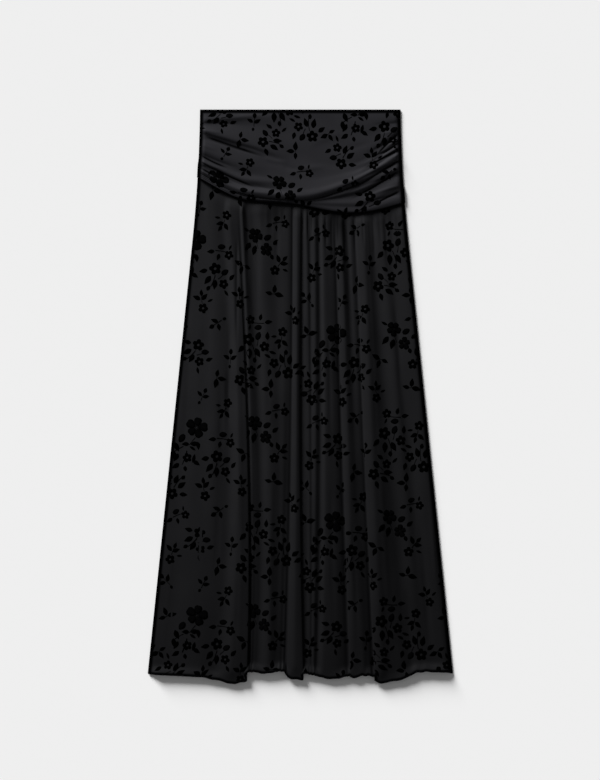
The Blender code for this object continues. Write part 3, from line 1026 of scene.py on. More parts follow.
@dataclass
class BackPanel(Panel):
    """A panel that lies flat on the table, its middle a little above it."""

    side: Side = Side.BACK
    height: float = 0.95
    thickness: float = 0.8
    relief_share: float = 0.35
    edge_margin: float = 1.2
    seam_gap: float = 0.3
    edge_ease: float = 14.0
    end_ease: float = 8.0
    width_points: int = 41

    def edges(self, across: np.ndarray) -> tuple[np.ndarray, np.ndarray]:
        """The drops at which the panel starts and ends."""
        raise NotImplementedError

    def placed(self, across: np.ndarray, drop: np.ndarray) -> np.ndarray:
        """Points on the panel, its relief only ever lifted off the table."""
        half = OUTLINE.half_width(drop)
        x = across * (half - self.rim)
        top, bottom = self.edges(across)
        soft = smooth((1 - np.abs(across)) * half / self.edge_ease)
        soft = soft * smooth((drop - top) / self.end_ease) * smooth((bottom - drop) / self.end_ease)
        lift = self.relief_share * np.maximum(self.relief.height(x, drop), 0.0) * soft
        return OUTLINE.points(x, drop, self.height + lift)

    def surface(self, u: np.ndarray, v: np.ndarray) -> np.ndarray:
        """Points from the panel's top edge to its bottom edge."""
        across = 2 * u - 1
        top, bottom = self.edges(across)
        return self.placed(across, top + (bottom - top) * v)

    def prepare(self) -> None:
        """Nothing to measure: flat places on a flat panel are its own."""

    def locate(self, s: np.ndarray, t: np.ndarray) -> tuple[np.ndarray, np.ndarray]:
        """The share of the half width, and the drop, at flat places seen from behind."""
        return np.clip(-s / (OUTLINE.half_width(t) - self.rim), -1.0, 1.0), t

    def margins(self, s: np.ndarray, t: np.ndarray) -> np.ndarray:
        """How far inside its four edges flat places are."""
        across, drop = self.locate(s, t)
        top, bottom = self.edges(across)
        side = OUTLINE.half_width(t) - self.rim - self.edge_margin
        return np.array([
            side - s, side + s, drop - top - self.edge_margin, bottom - self.edge_margin - drop,
        ])

    def flat_size(self) -> tuple[float, float]:
        """The panel's greatest width and its length."""
        middle = np.linspace(-1.0, 1.0, self.width_points)
        top, bottom = self.edges(middle)
        return 2 * float(OUTLINE.half_width(bottom.max())), float(bottom.max() - top.min())


@dataclass
class SkirtBack(BackPanel):
    """The skirt's back, from its seam with the band to its hem."""

    hem_lift: float = 5.0
    hem_power: int = 4

    def edges(self, across: np.ndarray) -> tuple[np.ndarray, np.ndarray]:
        """The drops of the seam with the band and of the hem."""
        hem = OUTLINE.hem_drop - self.hem_lift * (1 - across**self.hem_power)
        return OUTLINE.lip_drop(across) + self.seam_gap / 2, hem


@dataclass
class BandBack(BackPanel):
    """The band's back, from the waist edge to its seam with the skirt's back."""

    waist_rim: bool = True

    def edges(self, across: np.ndarray) -> tuple[np.ndarray, np.ndarray]:
        """The drops of the waist edge and of the seam with the skirt."""
        return np.zeros_like(across), OUTLINE.lip_drop(across) - self.seam_gap / 2


# ---- Modelling tools ----


def linked(name: str, data: object) -> bpy.types.Object:
    """A new object of the scene."""
    piece = bpy.data.objects.new(name, data)
    bpy.context.scene.collection.objects.link(piece)
    return piece


class Bench:
    """The modelling bench: Blender's operators on one chosen object at a time."""

    @staticmethod
    def clear() -> None:
        """Deselects everything."""
        if bpy.context.object and bpy.context.object.mode != "OBJECT":
            bpy.ops.object.mode_set(mode="OBJECT")
        bpy.ops.object.select_all(action="DESELECT")

    @classmethod
    def take(cls, piece: bpy.types.Object) -> None:
        """Makes one object the only one selected."""
        cls.clear()
        piece.select_set(True)
        bpy.context.view_layer.objects.active = piece

    @classmethod
    def apply(cls, piece: bpy.types.Object, modifier: bpy.types.Modifier) -> None:
        """Applies a modifier."""
        cls.take(piece)
        bpy.ops.object.modifier_apply(modifier=modifier.name)

    @classmethod
    def edit(cls, piece: bpy.types.Object, chosen: Callable[[Vector], bool]) -> None:
        """Opens an object in edit mode with only the chosen vertices selected.

        Args:
            piece: the object.
            chosen: says whether the vertex at a place is selected.
        """
        cls.take(piece)
        bpy.ops.object.mode_set(mode="EDIT")
        bpy.ops.mesh.select_mode(type="VERT")
        bpy.ops.mesh.select_all(action="DESELECT")
        bpy.ops.object.mode_set(mode="OBJECT")
        for vertex in piece.data.vertices:
            vertex.select = chosen(vertex.co)
        bpy.ops.object.mode_set(mode="EDIT")


# ---- The flock print ----


@dataclass(frozen=True)
class Pile:
    """How the flock stands on the cloth."""

    sunk: float = 0.2
    proud: float = 0.35
    shoulder: float = 0.5
    crown: float = 0.15


@dataclass
class Stamp:
    """One shape of the print, modelled once: its vertices and faces, in millimetres."""

    vertices: np.ndarray
    faces: list[tuple[int, ...]]

    @classmethod
    def from_piece(cls, piece: bpy.types.Object) -> "Stamp":
        """Takes the shape of a modelled object, and removes the object."""
        mesh = piece.data
        vertices = np.array([vertex.co[:] for vertex in mesh.vertices])
        faces = [tuple(face.vertices) for face in mesh.polygons]
        bpy.data.objects.remove(piece)
        bpy.data.meshes.remove(mesh)
        return cls(vertices, faces)


@dataclass
class StampMaker:
    """Models the print's stamps: leaves, buds, petals, small flowers and stems."""

    pile: Pile = field(default_factory=Pile)
    least_width: float = 0.02
    weld: float = 0.1
    shoulder_share: float = 0.4
    edge_share: float = 0.98
    crown_size: float = 1.07
    notch_size: float = 0.74

    def blade(
        self, length: float, widths: Sequence[float], lanes: int, crown: float = 0.0
    ) -> Stamp:
        """A leaf, bud, petal or stem along the x axis, from x = 0.

        Args:
            length: its length.
            widths: its half widths at even places from its base to its tip.
            lanes: how many faces wide it is.
            crown: how far its middle stands above its edge.

        Returns:
            The stamp.
        """
        steps = len(widths) - 1
        Bench.clear()
        bpy.ops.mesh.primitive_grid_add(x_subdivisions=steps, y_subdivisions=lanes, size=2.0)
        piece = bpy.context.object
        if crown:
            Bench.edit(piece, lambda co: abs(co.x) < 0.99 and abs(co.y) < 0.99)
            bpy.ops.transform.translate(value=(0.0, 0.0, crown))
        for number, width in enumerate(widths):
            x = 2 * number / steps - 1
            Bench.edit(piece, lambda co: abs(co.x - x) < 0.01)
            bpy.ops.transform.resize(value=(1.0, max(width, self.least_width), 1.0))
        bpy.ops.mesh.select_all(action="SELECT")
        bpy.ops.transform.resize(value=(length / 2, 1.0, 1.0))
        bpy.ops.transform.translate(value=(length / 2, 0.0, 0.0))
        bpy.ops.mesh.remove_doubles(threshold=self.weld)
        return self.raised(piece, min(self.pile.shoulder, max(widths) * self.shoulder_share))

    def rosette(self, hole: float, radii: Sequence[float], lobes: int) -> Stamp:
        """A small flower: rings from a bare centre out to a lobed edge.

        Args:
            hole: the bare centre's radius.
            radii: the radii of the rings around it.
            lobes: how many petals the edge shows.

        Returns:
            The stamp.
        """
        points = 4 * lobes
        Bench.clear()
        bpy.ops.mesh.primitive_circle_add(vertices=points, radius=hole, fill_type="NOTHING")
        piece = bpy.context.object
        bpy.ops.object.mode_set(mode="EDIT")
        bpy.ops.mesh.select_all(action="SELECT")
        for inner, outer in zip((hole, *radii), radii):
            bpy.ops.mesh.extrude_edges_move()
            bpy.ops.transform.resize(value=(outer / inner, outer / inner, 1.0))
        notch = 2 * math.pi / lobes
        reach = radii[-1]

        def beside_notch(co: Vector) -> bool:
            turn = (math.atan2(co.y, co.x) + notch / 8) % notch
            return co.length > reach * self.edge_share and turn < notch / 4

        def at_crown(co: Vector) -> bool:
            turn = (math.atan2(co.y, co.x) + notch / 8) % notch
            return co.length > reach * self.edge_share and notch / 2 < turn < notch * 0.75

        for chosen, size in ((at_crown, self.crown_size), (beside_notch, self.notch_size)):
            Bench.edit(piece, chosen)
            bpy.ops.transform.resize(value=(size, size, 1.0), center_override=(0.0, 0.0, 0.0))
        bpy.ops.mesh.select_all(action="SELECT")
        bpy.ops.mesh.normals_make_consistent(inside=False)
        if piece.data.polygons[0].normal.z < 0:
            bpy.ops.mesh.flip_normals()
        return self.raised(piece, self.pile.shoulder, ring=True)

    def raised(self, piece: bpy.types.Object, shoulder: float, ring: bool = False) -> Stamp:
        """Raises a flat shape into a closed pad with sloping sides.

        Args:
            piece: the flat shape, its normals up.
            shoulder: how wide the slope around its edge is.
            ring: whether the shape has a hole.

        Returns:
            The stamp.
        """
        if bpy.context.object.mode != "EDIT":
            bpy.ops.object.mode_set(mode="EDIT")
        bpy.ops.mesh.select_mode(type="FACE")
        bpy.ops.mesh.select_all(action="SELECT")
        bpy.ops.mesh.normals_make_consistent(inside=False)
        bpy.ops.object.mode_set(mode="OBJECT")
        if piece.data.polygons[0].normal.z < 0:
            piece.data.flip_normals()
        bpy.ops.object.mode_set(mode="EDIT")
        bpy.ops.mesh.select_all(action="SELECT")
        bpy.ops.mesh.inset(thickness=shoulder, depth=self.pile.proud, use_boundary=True)
        bpy.ops.mesh.select_mode(type="EDGE")
        bpy.ops.mesh.select_all(action="DESELECT")
        bpy.ops.mesh.select_non_manifold()
        bpy.ops.transform.translate(value=(0.0, 0.0, -self.pile.sunk))
        if ring:
            bpy.ops.mesh.bridge_edge_loops()
        else:
            bpy.ops.mesh.edge_face_add()
        bpy.ops.mesh.select_all(action="SELECT")
        bpy.ops.mesh.normals_make_consistent(inside=False)
        bpy.ops.object.mode_set(mode="OBJECT")
        return Stamp.from_piece(piece)

    def all(self) -> dict[str, Stamp]:
        """Models every stamp, by name."""
        return {
            "leaf": self.blade(15.0, (0.6, 2.9, 3.9, 3.8, 2.8, 1.4, 0.0), 2),
            "slim": self.blade(13.0, (0.5, 1.9, 2.6, 2.4, 1.5, 0.0), 2),
            "bud": self.blade(9.5, (0.9, 3.0, 3.5, 2.5, 0.0), 2),
            "oval": self.blade(16.0, (2.2, 4.6, 5.6, 5.4, 4.0, 1.2), 3, self.pile.crown),
            "petal": self.blade(15.0, (1.8, 4.2, 6.3, 7.2, 6.8, 4.0), 3, self.pile.crown),
            "stem": self.blade(14.0, (0.50, 0.44, 0.42, 0.42, 0.42, 0.36), 1),
            "eye": self.rosette(1.1, (2.5,), 4),
            "flower": self.rosette(1.7, (4.6, 8.0), 5),
        }


class Placing(NamedTuple):
    """A stamp's place in a motif, with y up the skirt."""

    stamp: str
    x: float
    y: float
    turn: float
    size: float = 1.0
    bow: float = 0.0


# A large flower's petals: their sizes, the turn between them, and how far out they start.
PETAL_SIZES, PETAL_TURN, PETAL_START = (0.96, 1.06, 0.92, 1.02, 1.1), 72, 2.5


def bloom(x: float, y: float, turn: float, size: float) -> list[Placing]:
    """A large open flower: five broad petals around a small eye."""
    placings = [Placing("eye", x, y, turn, size)]
    for number, scale in enumerate(PETAL_SIZES):
        angle = math.radians(turn + PETAL_TURN * number)
        start = PETAL_START * size
        placings.append(Placing(
            "petal", x + start * math.cos(angle), y + start * math.sin(angle),
            turn + PETAL_TURN * number, size * scale,
        ))
    return placings


class Motif(Enum):
    """The print's own small bunches."""

    POSY = (
        *bloom(1.0, 34.0, 100.0, 0.95),
        *rows(
            Placing,
            ("oval", -12.0, 16.0, 258.0, 0.92),
            ("leaf", 12.0, 14.0, 300.0, 0.9, 0.6),
            ("leaf", 1.0, 5.0, 205.0, 0.85, -0.5),
            ("leaf", 3.5, 5.5, 32.0, 1.0, 0.6),
            ("slim", 3.5, 2.0, 350.0, 0.9, 0.3),
            ("stem", 2.0, 4.0, 75.0, 1.1, 0.6),
            ("leaf", -21.0, -2.0, 318.0, 1.1, -0.6),
            ("leaf", -18.0, -15.0, 300.0, 1.05, 0.6),
            ("leaf", -8.5, -16.0, 262.0, 1.0, -0.5),
            ("flower", 7.0, -16.0, 20.0, 0.92),
            ("slim", 16.0, -6.0, 278.0, 1.15, 0.4),
            ("leaf", 17.5, -17.0, 352.0, 0.9, 0.4),
            ("stem", -6.0, -2.0, 235.0, 1.4, -1.2),
            ("stem", 2.0, -6.0, 275.0, 1.7, 1.0),
            ("leaf", -1.0, -30.0, 236.0, 0.95, 0.6),
            ("bud", 9.0, -30.0, 300.0, 0.9),
        ),
    )
    CLUSTER = rows(
        Placing,
        ("flower", -7.5, 11.0, 10.0, 1.18),
        ("flower", 11.5, -9.5, 38.0, 0.95),
        ("oval", 4.5, 5.0, 42.0, 0.8),
        ("leaf", -11.5, -2.0, 245.0, 1.15, 0.8),
        ("leaf", -2.5, -6.0, 275.0, 1.1, -0.6),
        ("leaf", -19.0, 6.0, 205.0, 0.95, 0.6),
        ("leaf", 19.5, -1.5, 62.0, 0.85, 0.4),
        ("slim", 15.0, -19.0, 320.0, 0.9, -0.5),
        ("bud", -9.5, -18.0, 252.0, 0.95),
        ("stem", -5.0, 1.0, 262.0, 1.5, 1.6),
        ("stem", 1.0, -4.0, 58.0, 1.1, -1.2),
    )
    DOUBLE = (
        *bloom(-8.0, 11.0, 64.0, 0.66),
        *bloom(13.0, -9.0, 22.0, 0.56),
        *rows(
            Placing,
            ("oval", 8.0, 6.0, 40.0, 0.8),
            ("leaf", -14.0, -2.0, 238.0, 1.1, 0.8),
            ("leaf", -4.5, -5.0, 262.0, 1.15, -0.6),
            ("slim", -19.0, 16.0, 160.0, 0.9, 0.4),
            ("bud", 22.0, -16.0, 300.0, 0.95),
            ("leaf", 23.0, 0.0, 48.0, 0.85, 0.4),
            ("stem", -6.0, 1.0, 300.0, 0.9, 1.2),
        ),
    )
    BLOSSOM_SPRIG = rows(
        Placing,
        ("flower", 0.0, -11.0, 14.0, 0.98),
        ("stem", 0.8, -3.5, 82.0, 0.9, 1.2),
        ("leaf", 1.5, 2.5, 32.0, 0.9, 0.6),
        ("leaf", -0.5, 3.5, 142.0, 0.95, -0.7),
        ("leaf", 2.5, 8.5, 78.0, 0.75, 0.3),
        ("slim", 9.5, -3.0, 12.0, 0.75, 0.3),
    )
    TRAILING_SPRIG = rows(
        Placing,
        ("flower", 14.0, -1.5, 30.0, 0.92),
        ("oval", -6.0, 8.0, 14.0, 0.78),
        ("leaf", -2.0, -2.0, 262.0, 0.75, 0.5),
        ("leaf", -10.0, 1.0, 196.0, 0.85, 0.6),
        ("slim", 13.0, 6.5, 72.0, 0.7, 0.4),
        ("stem", -9.0, 2.0, 2.0, 1.3, 1.0),
    )
    LEAF_SPRIG = rows(
        Placing,
        ("leaf", 0.5, 1.5, 56.0, 1.05, 0.6),
        ("leaf", -1.5, 1.0, 152.0, 0.95, -0.6),
        ("leaf", -1.0, -2.0, 236.0, 0.8, 0.4),
        ("stem", -1.5, -3.5, 68.0, 0.55, 0.6),
    )
    BUD_SPRIG = rows(
        Placing,
        ("bud", 2.5, 7.0, 72.0, 1.05),
        ("leaf", 1.0, -1.0, 20.0, 0.85, 0.4),
        ("leaf", -1.0, 1.0, 140.0, 0.8, -0.4),
        ("stem", -1.0, -7.0, 74.0, 1.05, 0.8),
        ("bud", -2.0, -8.5, 244.0, 0.7),
    )


class Spot(NamedTuple):
    """A motif's place in the repeat, with y down it."""

    motif: Motif
    s: float
    t: float
    turn: float
    size: float = 1.0


@dataclass(frozen=True)
class Repeat:
    """The print's half-drop repeat."""

    width: float = 240.0
    depth: float = 300.0
    spots: tuple[Spot, ...] = rows(
        Spot,
        (Motif.POSY, 56.0, 76.1, -24.2),
        (Motif.CLUSTER, 108.0, 104.0, -14.0),
        (Motif.CLUSTER, 29.8, 138.4, 150.4, 0.95),
        (Motif.BLOSSOM_SPRIG, 81.1, 144.1, 14.3),
        (Motif.TRAILING_SPRIG, 112.0, 66.0, -10.0),
        (Motif.LEAF_SPRIG, 22.8, 47.4, -41.5),
        (Motif.CLUSTER, 170.4, 211.9, 23.8, 1.05),
        (Motif.CLUSTER, 214.1, 249.2, -167.6),
        (Motif.CLUSTER, 153.5, 263.6, 83.6, 0.95),
        (Motif.BLOSSOM_SPRIG, 213.6, 202.9, 174.4, 0.95),
        (Motif.TRAILING_SPRIG, 176.0, 176.0, 174.0),
        (Motif.BUD_SPRIG, 126.5, 236.2, 11.9),
        (Motif.LEAF_SPRIG, 196.0, 284.0, 30.0),
        (Motif.DOUBLE, 176.0, 50.0, -8.0),
        (Motif.BLOSSOM_SPRIG, 208.0, 84.9, -32.6),
        (Motif.LEAF_SPRIG, 150.0, 86.0, 96.0),
        (Motif.TRAILING_SPRIG, 206.0, 20.0, 6.0, 0.9),
        (Motif.BLOSSOM_SPRIG, 142.0, 138.0, 12.0, 0.92),
        (Motif.LEAF_SPRIG, 200.0, 132.0, -70.0),
        (Motif.BUD_SPRIG, 108.0, 178.0, 140.0),
        (Motif.TRAILING_SPRIG, 40.0, 188.0, 20.0, 0.9),
        (Motif.CLUSTER, 74.0, 226.0, -40.0, 0.95),
        (Motif.BLOSSOM_SPRIG, 30.0, 246.0, -12.0, 0.95),
        (Motif.LEAF_SPRIG, 104.0, 266.0, -160.0),
        (Motif.BUD_SPRIG, 22.0, 292.0, 60.0),
        (Motif.BLOSSOM_SPRIG, 118.0, 16.0, 160.0, 0.95),
        (Motif.BUD_SPRIG, 80.0, 296.0, -10.0, 0.9),
        (Motif.BLOSSOM_SPRIG, 232.0, 166.0, 30.0, 0.9),
        (Motif.LEAF_SPRIG, 10.1, 103.0, 152.5, 0.9),
    )

    def over(self, s_range: tuple[float, float], t_range: tuple[float, float]) -> list[Spot]:
        """Every spot of the repeat over a stretch of flat cloth.

        Args:
            s_range: the stretch across.
            t_range: the stretch down.

        Returns:
            The spots, in the flat cloth's own places.
        """
        found = []
        for column in range(int(s_range[0] // self.width) - 1, int(s_range[1] // self.width) + 2):
            slide = self.depth / 2 if column % 2 else 0.0
            for row in range(int(t_range[0] // self.depth) - 2, int(t_range[1] // self.depth) + 2):
                for spot in self.spots:
                    s, t = spot.s + column * self.width, spot.t + row * self.depth + slide
                    found.append(spot._replace(s=s, t=t))
        return found


@dataclass
class FlockPrint:
    """The raised print on one panel."""

    panel: Panel
    stamps: dict[str, Stamp]
    repeat: Repeat
    pile: Pile = field(default_factory=Pile)
    reach: float = 60.0
    least_facing: float = 0.12

    def placed_stamp(self, spot: Spot, placing: Placing) -> np.ndarray:
        """A stamp's vertices in flat places, their third number the height of the pile."""
        stamp = self.stamps[placing.stamp]
        x, y, z = stamp.vertices.T
        x, y = x * placing.size, y * placing.size
        length = max(x.max(), 1.0)
        y = y + placing.bow * 4 * (x / length) * (1 - x / length) * 0.5
        for turn, move_x, move_y, size in (
            (placing.turn, placing.x, placing.y, 1.0),
            (spot.turn, 0.0, 0.0, spot.size),
        ):
            cos, sin = math.cos(math.radians(turn)), math.sin(math.radians(turn))
            x, y = (x * cos - y * sin + move_x) * size, (x * sin + y * cos + move_y) * size
        return np.stack([spot.s + x, spot.t - y, z], axis=-1)

    def trimmed(self, places: np.ndarray, faces: list, inside: np.ndarray) -> tuple:
        """Cuts a stamp that crosses the panel's edges back to them.

        Args:
            places: the stamp's flat places and heights.
            faces: its faces.
            inside: the panel's margins at each vertex.

        Returns:
            The places and faces that are left.
        """
        shape = bmesh.new()
        vertices = [shape.verts.new(place) for place in places]
        for face in faces:
            shape.faces.new([vertices[corner] for corner in face])
        centre = places[:, :2].mean(axis=0)
        for edge, margin in enumerate(inside):
            if margin.min() >= 0:
                continue
            near = np.array([centre, centre + (1.0, 0.0), centre + (0.0, 1.0)])
            values = self.panel.margins(near[:, 0], near[:, 1])[edge]
            slope = np.array([values[1] - values[0], values[2] - values[0]])
            foot = centre - slope * values[0] / (slope @ slope)
            cut = bmesh.ops.bisect_plane(
                shape,
                geom=[*shape.verts, *shape.edges, *shape.faces],
                plane_co=(foot[0], foot[1], 0.0),
                plane_no=(-slope[0], -slope[1], 0.0),
                clear_outer=True,
            )
            edges = [part for part in cut["geom_cut"] if isinstance(part, bmesh.types.BMEdge)]
            if edges:
                bmesh.ops.contextual_create(shape, geom=edges)
        shape.verts.index_update()
        kept = np.array([vertex.co[:] for vertex in shape.verts]).reshape(-1, 3)
        left = [tuple(vertex.index for vertex in face.verts) for face in shape.faces]
        shape.free()
        return kept, left

    def collect(self) -> tuple[list[np.ndarray], list[list[tuple[int, ...]]]]:
        """Each stamp of the print on the flat panel, and the faces of each."""
        width, depth = self.panel.flat_size()
        span = width / 2 + self.reach
        places, faces, count = [], [], 0
        for spot in self.repeat.over((-span, span), (-self.reach, depth + self.reach)):
            shift_s, shift_t = self.panel.print_shift
            spot = spot._replace(s=spot.s + shift_s, t=spot.t + shift_t)
            if abs(spot.s) > span + self.reach:
                continue
            for placing in spot.motif.value:
                own = self.placed_stamp(spot, placing)
                inside = self.panel.margins(own[:, 0], own[:, 1])
                if inside.max(axis=1).min() <= 0.5:
                    continue
                own_faces = self.stamps[placing.stamp].faces
                if inside.min() < 0:
                    own, own_faces = self.trimmed(own, own_faces, inside)
                    if not own_faces:
                        continue
                places.append(own)
                faces.append([tuple(corner + count for corner in face) for face in own_faces])
                count += len(own)
        return places, faces

    def build(self, name: str, material: bpy.types.Material) -> bpy.types.Object:
        """Lays the print on the folded panel.

        Args:
            name: the piece's name.
            material: the flock's finish.

        Returns:
            The print's object.
        """
        stamps, faces = self.collect()
        flat = np.concatenate(stamps)
        owner = np.repeat(np.arange(len(stamps)), [len(own) for own in stamps])
        a, b = self.panel.locate(flat[:, 0], flat[:, 1])
        points = self.panel.placed(a, b)
        step_a, step_b = self.panel.slope_steps
        along_a = self.panel.placed(a + step_a, b) - self.panel.placed(a - step_a, b)
        along_b = self.panel.placed(a, b + step_b) - self.panel.placed(a, b - step_b)
        normal = np.cross(along_b, along_a)
        normal /= np.maximum(np.linalg.norm(normal, axis=1), 1e-9)[:, None]
        outward = normal * self.panel.side.value
        height = self.panel.thickness / 2 + flat[:, 2]
        points = points + outward * height[:, None]
        facing = np.zeros(len(stamps))
        np.add.at(facing, owner, outward[:, 2] * self.panel.side.value)
        facing /= np.bincount(owner)
        shown = facing > self.least_facing
        keep = shown[owner]
        number = np.cumsum(keep) - 1
        kept_faces = [
            tuple(int(number[corner]) for corner in face)
            for index, own in enumerate(faces) if shown[index] for face in own
        ]
        mesh = bpy.data.meshes.new(name)
        mesh.from_pydata((points[keep] * MM).tolist(), [], kept_faces)
        # How far up the pile's crown each vertex is, which the finish lightens as a painted sheen.
        painted_sheen = mesh.attributes.new("painted_sheen", "FLOAT", "POINT")
        crown = (flat[keep, 2] - self.pile.proud) / self.pile.crown
        painted_sheen.data.foreach_set("value", np.clip(crown, 0.0, 1.0))
        mesh.validate()
        mesh.shade_smooth()
        mesh.materials.append(material)
        return linked(name, mesh)


# ---- Hem ----


@dataclass
class Hem:
    """A narrow rolled hem: the rolled edge, and the overlock thread wound around it."""

    roll: float
    thread: float
    pitch: float = 2.1
    turn_points: int = 8
    roll_sides: int = 2
    spacing: float = 2.5
    path_points: int = 2400
    bite: float = 0.35

    def path(self, panel: Panel) -> np.ndarray:
        """The line along the panel's lower edge, at even spacing."""
        u = np.linspace(0.0, 1.0, self.path_points)
        line = panel.surface(u, np.ones_like(u))
        length = walked(line)[-1]
        return at_distances(line, np.linspace(0.0, length, int(length / self.spacing)))

    def tube(
        self, name: str, line: np.ndarray, radius: float, sides: int, material: bpy.types.Material
    ) -> bpy.types.Object:
        """A round cord along a line, as a closed mesh.

        Args:
            name: the piece's name.
            line: the points that it follows.
            radius: its radius.
            sides: the bevel's resolution.
            material: its finish.

        Returns:
            The cord's object.
        """
        curve = bpy.data.curves.new(name, "CURVE")
        curve.dimensions = "3D"
        curve.bevel_depth = radius * MM
        curve.bevel_resolution = sides
        curve.use_fill_caps = True
        spline = curve.splines.new("POLY")
        spline.points.add(len(line) - 1)
        spline.points.foreach_set("co", np.c_[line * MM, np.ones(len(line))].ravel())
        Bench.take(linked(name, curve))
        bpy.ops.object.convert(target="MESH")
        piece = bpy.context.object
        piece.data.materials.clear()
        piece.data.materials.append(material)
        piece.data.shade_smooth()
        return piece

    def build(
        self, name: str, panel: Panel, cloth: bpy.types.Material, thread: bpy.types.Material
    ) -> list[bpy.types.Object]:
        """Builds the rolled edge and its thread.

        Args:
            name: the start of the pieces' names.
            panel: the panel that is hemmed.
            cloth: the roll's finish.
            thread: the thread's finish.

        Returns:
            The roll and the thread.
        """
        line = self.path(panel)
        roll = self.tube(name + "_hem_roll", line, self.roll, self.roll_sides, cloth)
        # The roll is drawn fully dark: painted shade along the hem's edge.
        painted_shade = roll.data.attributes.new("painted_shade", "FLOAT", "POINT")
        painted_shade.data.foreach_set("value", np.ones(len(roll.data.vertices)))
        length = walked(line)[-1]
        count = int(length / self.pitch * self.turn_points)
        middle = at_distances(line, np.linspace(0.0, length, count))
        along = np.gradient(middle, axis=0)
        along /= np.linalg.norm(along, axis=1)[:, None]
        down = np.array([0.0, -1.0, 0.0]) + along * along[:, 1][:, None]
        down /= np.linalg.norm(down, axis=1)[:, None]
        aside = np.cross(along, down)
        angle = (2 * math.pi * np.arange(count) / self.turn_points)[:, None]
        radius = self.roll + self.thread * self.bite
        coil = middle + radius * (down * np.cos(angle) + aside * np.sin(angle))
        wound = self.tube(name + "_hem_thread", coil, self.thread, 0, thread)
        return [roll, wound]


# ---- Finishes ----


class Nodes:
    """A short hand for building a node tree."""

    def __init__(self, tree: bpy.types.NodeTree) -> None:
        """Starts on a tree."""
        self.tree = tree

    @classmethod
    def material(cls, name: str) -> tuple[bpy.types.Material, "Nodes", bpy.types.Node]:
        """A new material, its nodes and its shader."""
        material = bpy.data.materials.new(name)
        material.use_nodes = True
        return material, cls(material.node_tree), material.node_tree.nodes["Principled BSDF"]

    def fill(self, node: bpy.types.Node, inputs: dict) -> None:
        """Gives a node's inputs their values, or links sockets to them."""
        for socket, value in inputs.items():
            if isinstance(value, bpy.types.NodeSocket):
                self.tree.links.new(value, node.inputs[socket])
            else:
                node.inputs[socket].default_value = value

    def add(self, kind: str, inputs: dict | None = None, **settings: object) -> bpy.types.Node:
        """Adds a node.

        Args:
            kind: the node's type, without its ShaderNode prefix.
            inputs: values or sockets for the node's inputs, by name or number.
            settings: the node's own settings.

        Returns:
            The node.
        """
        node = self.tree.nodes.new("ShaderNode" + kind)
        for setting, value in settings.items():
            setattr(node, setting, value)
        self.fill(node, inputs or {})
        return node

    def math(self, operation: str, first: object, second: object = 0.0) -> bpy.types.NodeSocket:
        """Adds a Math node and gives its result."""
        return self.add("Math", {0: first, 1: second}, operation=operation).outputs[0]

    def blend(
        self, share: object, first: object, second: object, kind: str = "MIX"
    ) -> bpy.types.NodeSocket:
        """Mixes two colours, as the kind of blend says, and gives the result."""
        inputs = {0: share, 6: first, 7: second}
        return self.add("Mix", inputs, data_type="RGBA", blend_type=kind).outputs[2]


def rgba(colour: Colour) -> tuple[float, float, float, float]:
    """A colour with full alpha."""
    return (*colour, 1.0)


def weave_group() -> bpy.types.NodeTree:
    """The fine knit of stretch cloth: its height, and its uneven tone, from thread places."""
    tree = bpy.data.node_groups.new("stretch knit", "ShaderNodeTree")
    for name in ("Threads", "Place"):
        tree.interface.new_socket(name, in_out="INPUT", socket_type="NodeSocketVector")
    for name in ("Pitch", "Patch Size"):
        tree.interface.new_socket(name, in_out="INPUT", socket_type="NodeSocketFloat")
    for name in ("Height", "Tone"):
        tree.interface.new_socket(name, in_out="OUTPUT", socket_type="NodeSocketFloat")
    make = Nodes(tree)
    given = tree.nodes.new("NodeGroupInput").outputs
    result = tree.nodes.new("NodeGroupOutput").inputs
    parts = make.add("SeparateXYZ", {0: given["Threads"]}).outputs
    turn = make.math("DIVIDE", 2 * math.pi, given["Pitch"])
    wales = make.math("SINE", make.math("MULTIPLY", parts[0], turn))
    slant = make.math("MULTIPLY", make.math("ABSOLUTE", wales), 1.3)
    courses = make.math("SINE", make.math("ADD", make.math("MULTIPLY", parts[1], turn), slant))
    knit = make.math("MULTIPLY", make.math("ADD", courses, 1.0), make.math("ABSOLUTE", wales))
    tree.links.new(knit, result["Height"])
    size = make.math("DIVIDE", 1.0, given["Patch Size"])
    patches = make.add("TexNoise", {"Vector": given["Place"], "Scale": size, "Detail": 4.0})
    fibres = make.add("TexNoise", {"Vector": given["Threads"], "Scale": 900.0, "Detail": 2.0})
    tone = make.math("ADD", make.math("MULTIPLY", patches.outputs[0], 0.75),
                     make.math("MULTIPLY", fibres.outputs[0], 0.25))
    tree.links.new(tone, result["Tone"])
    return tree


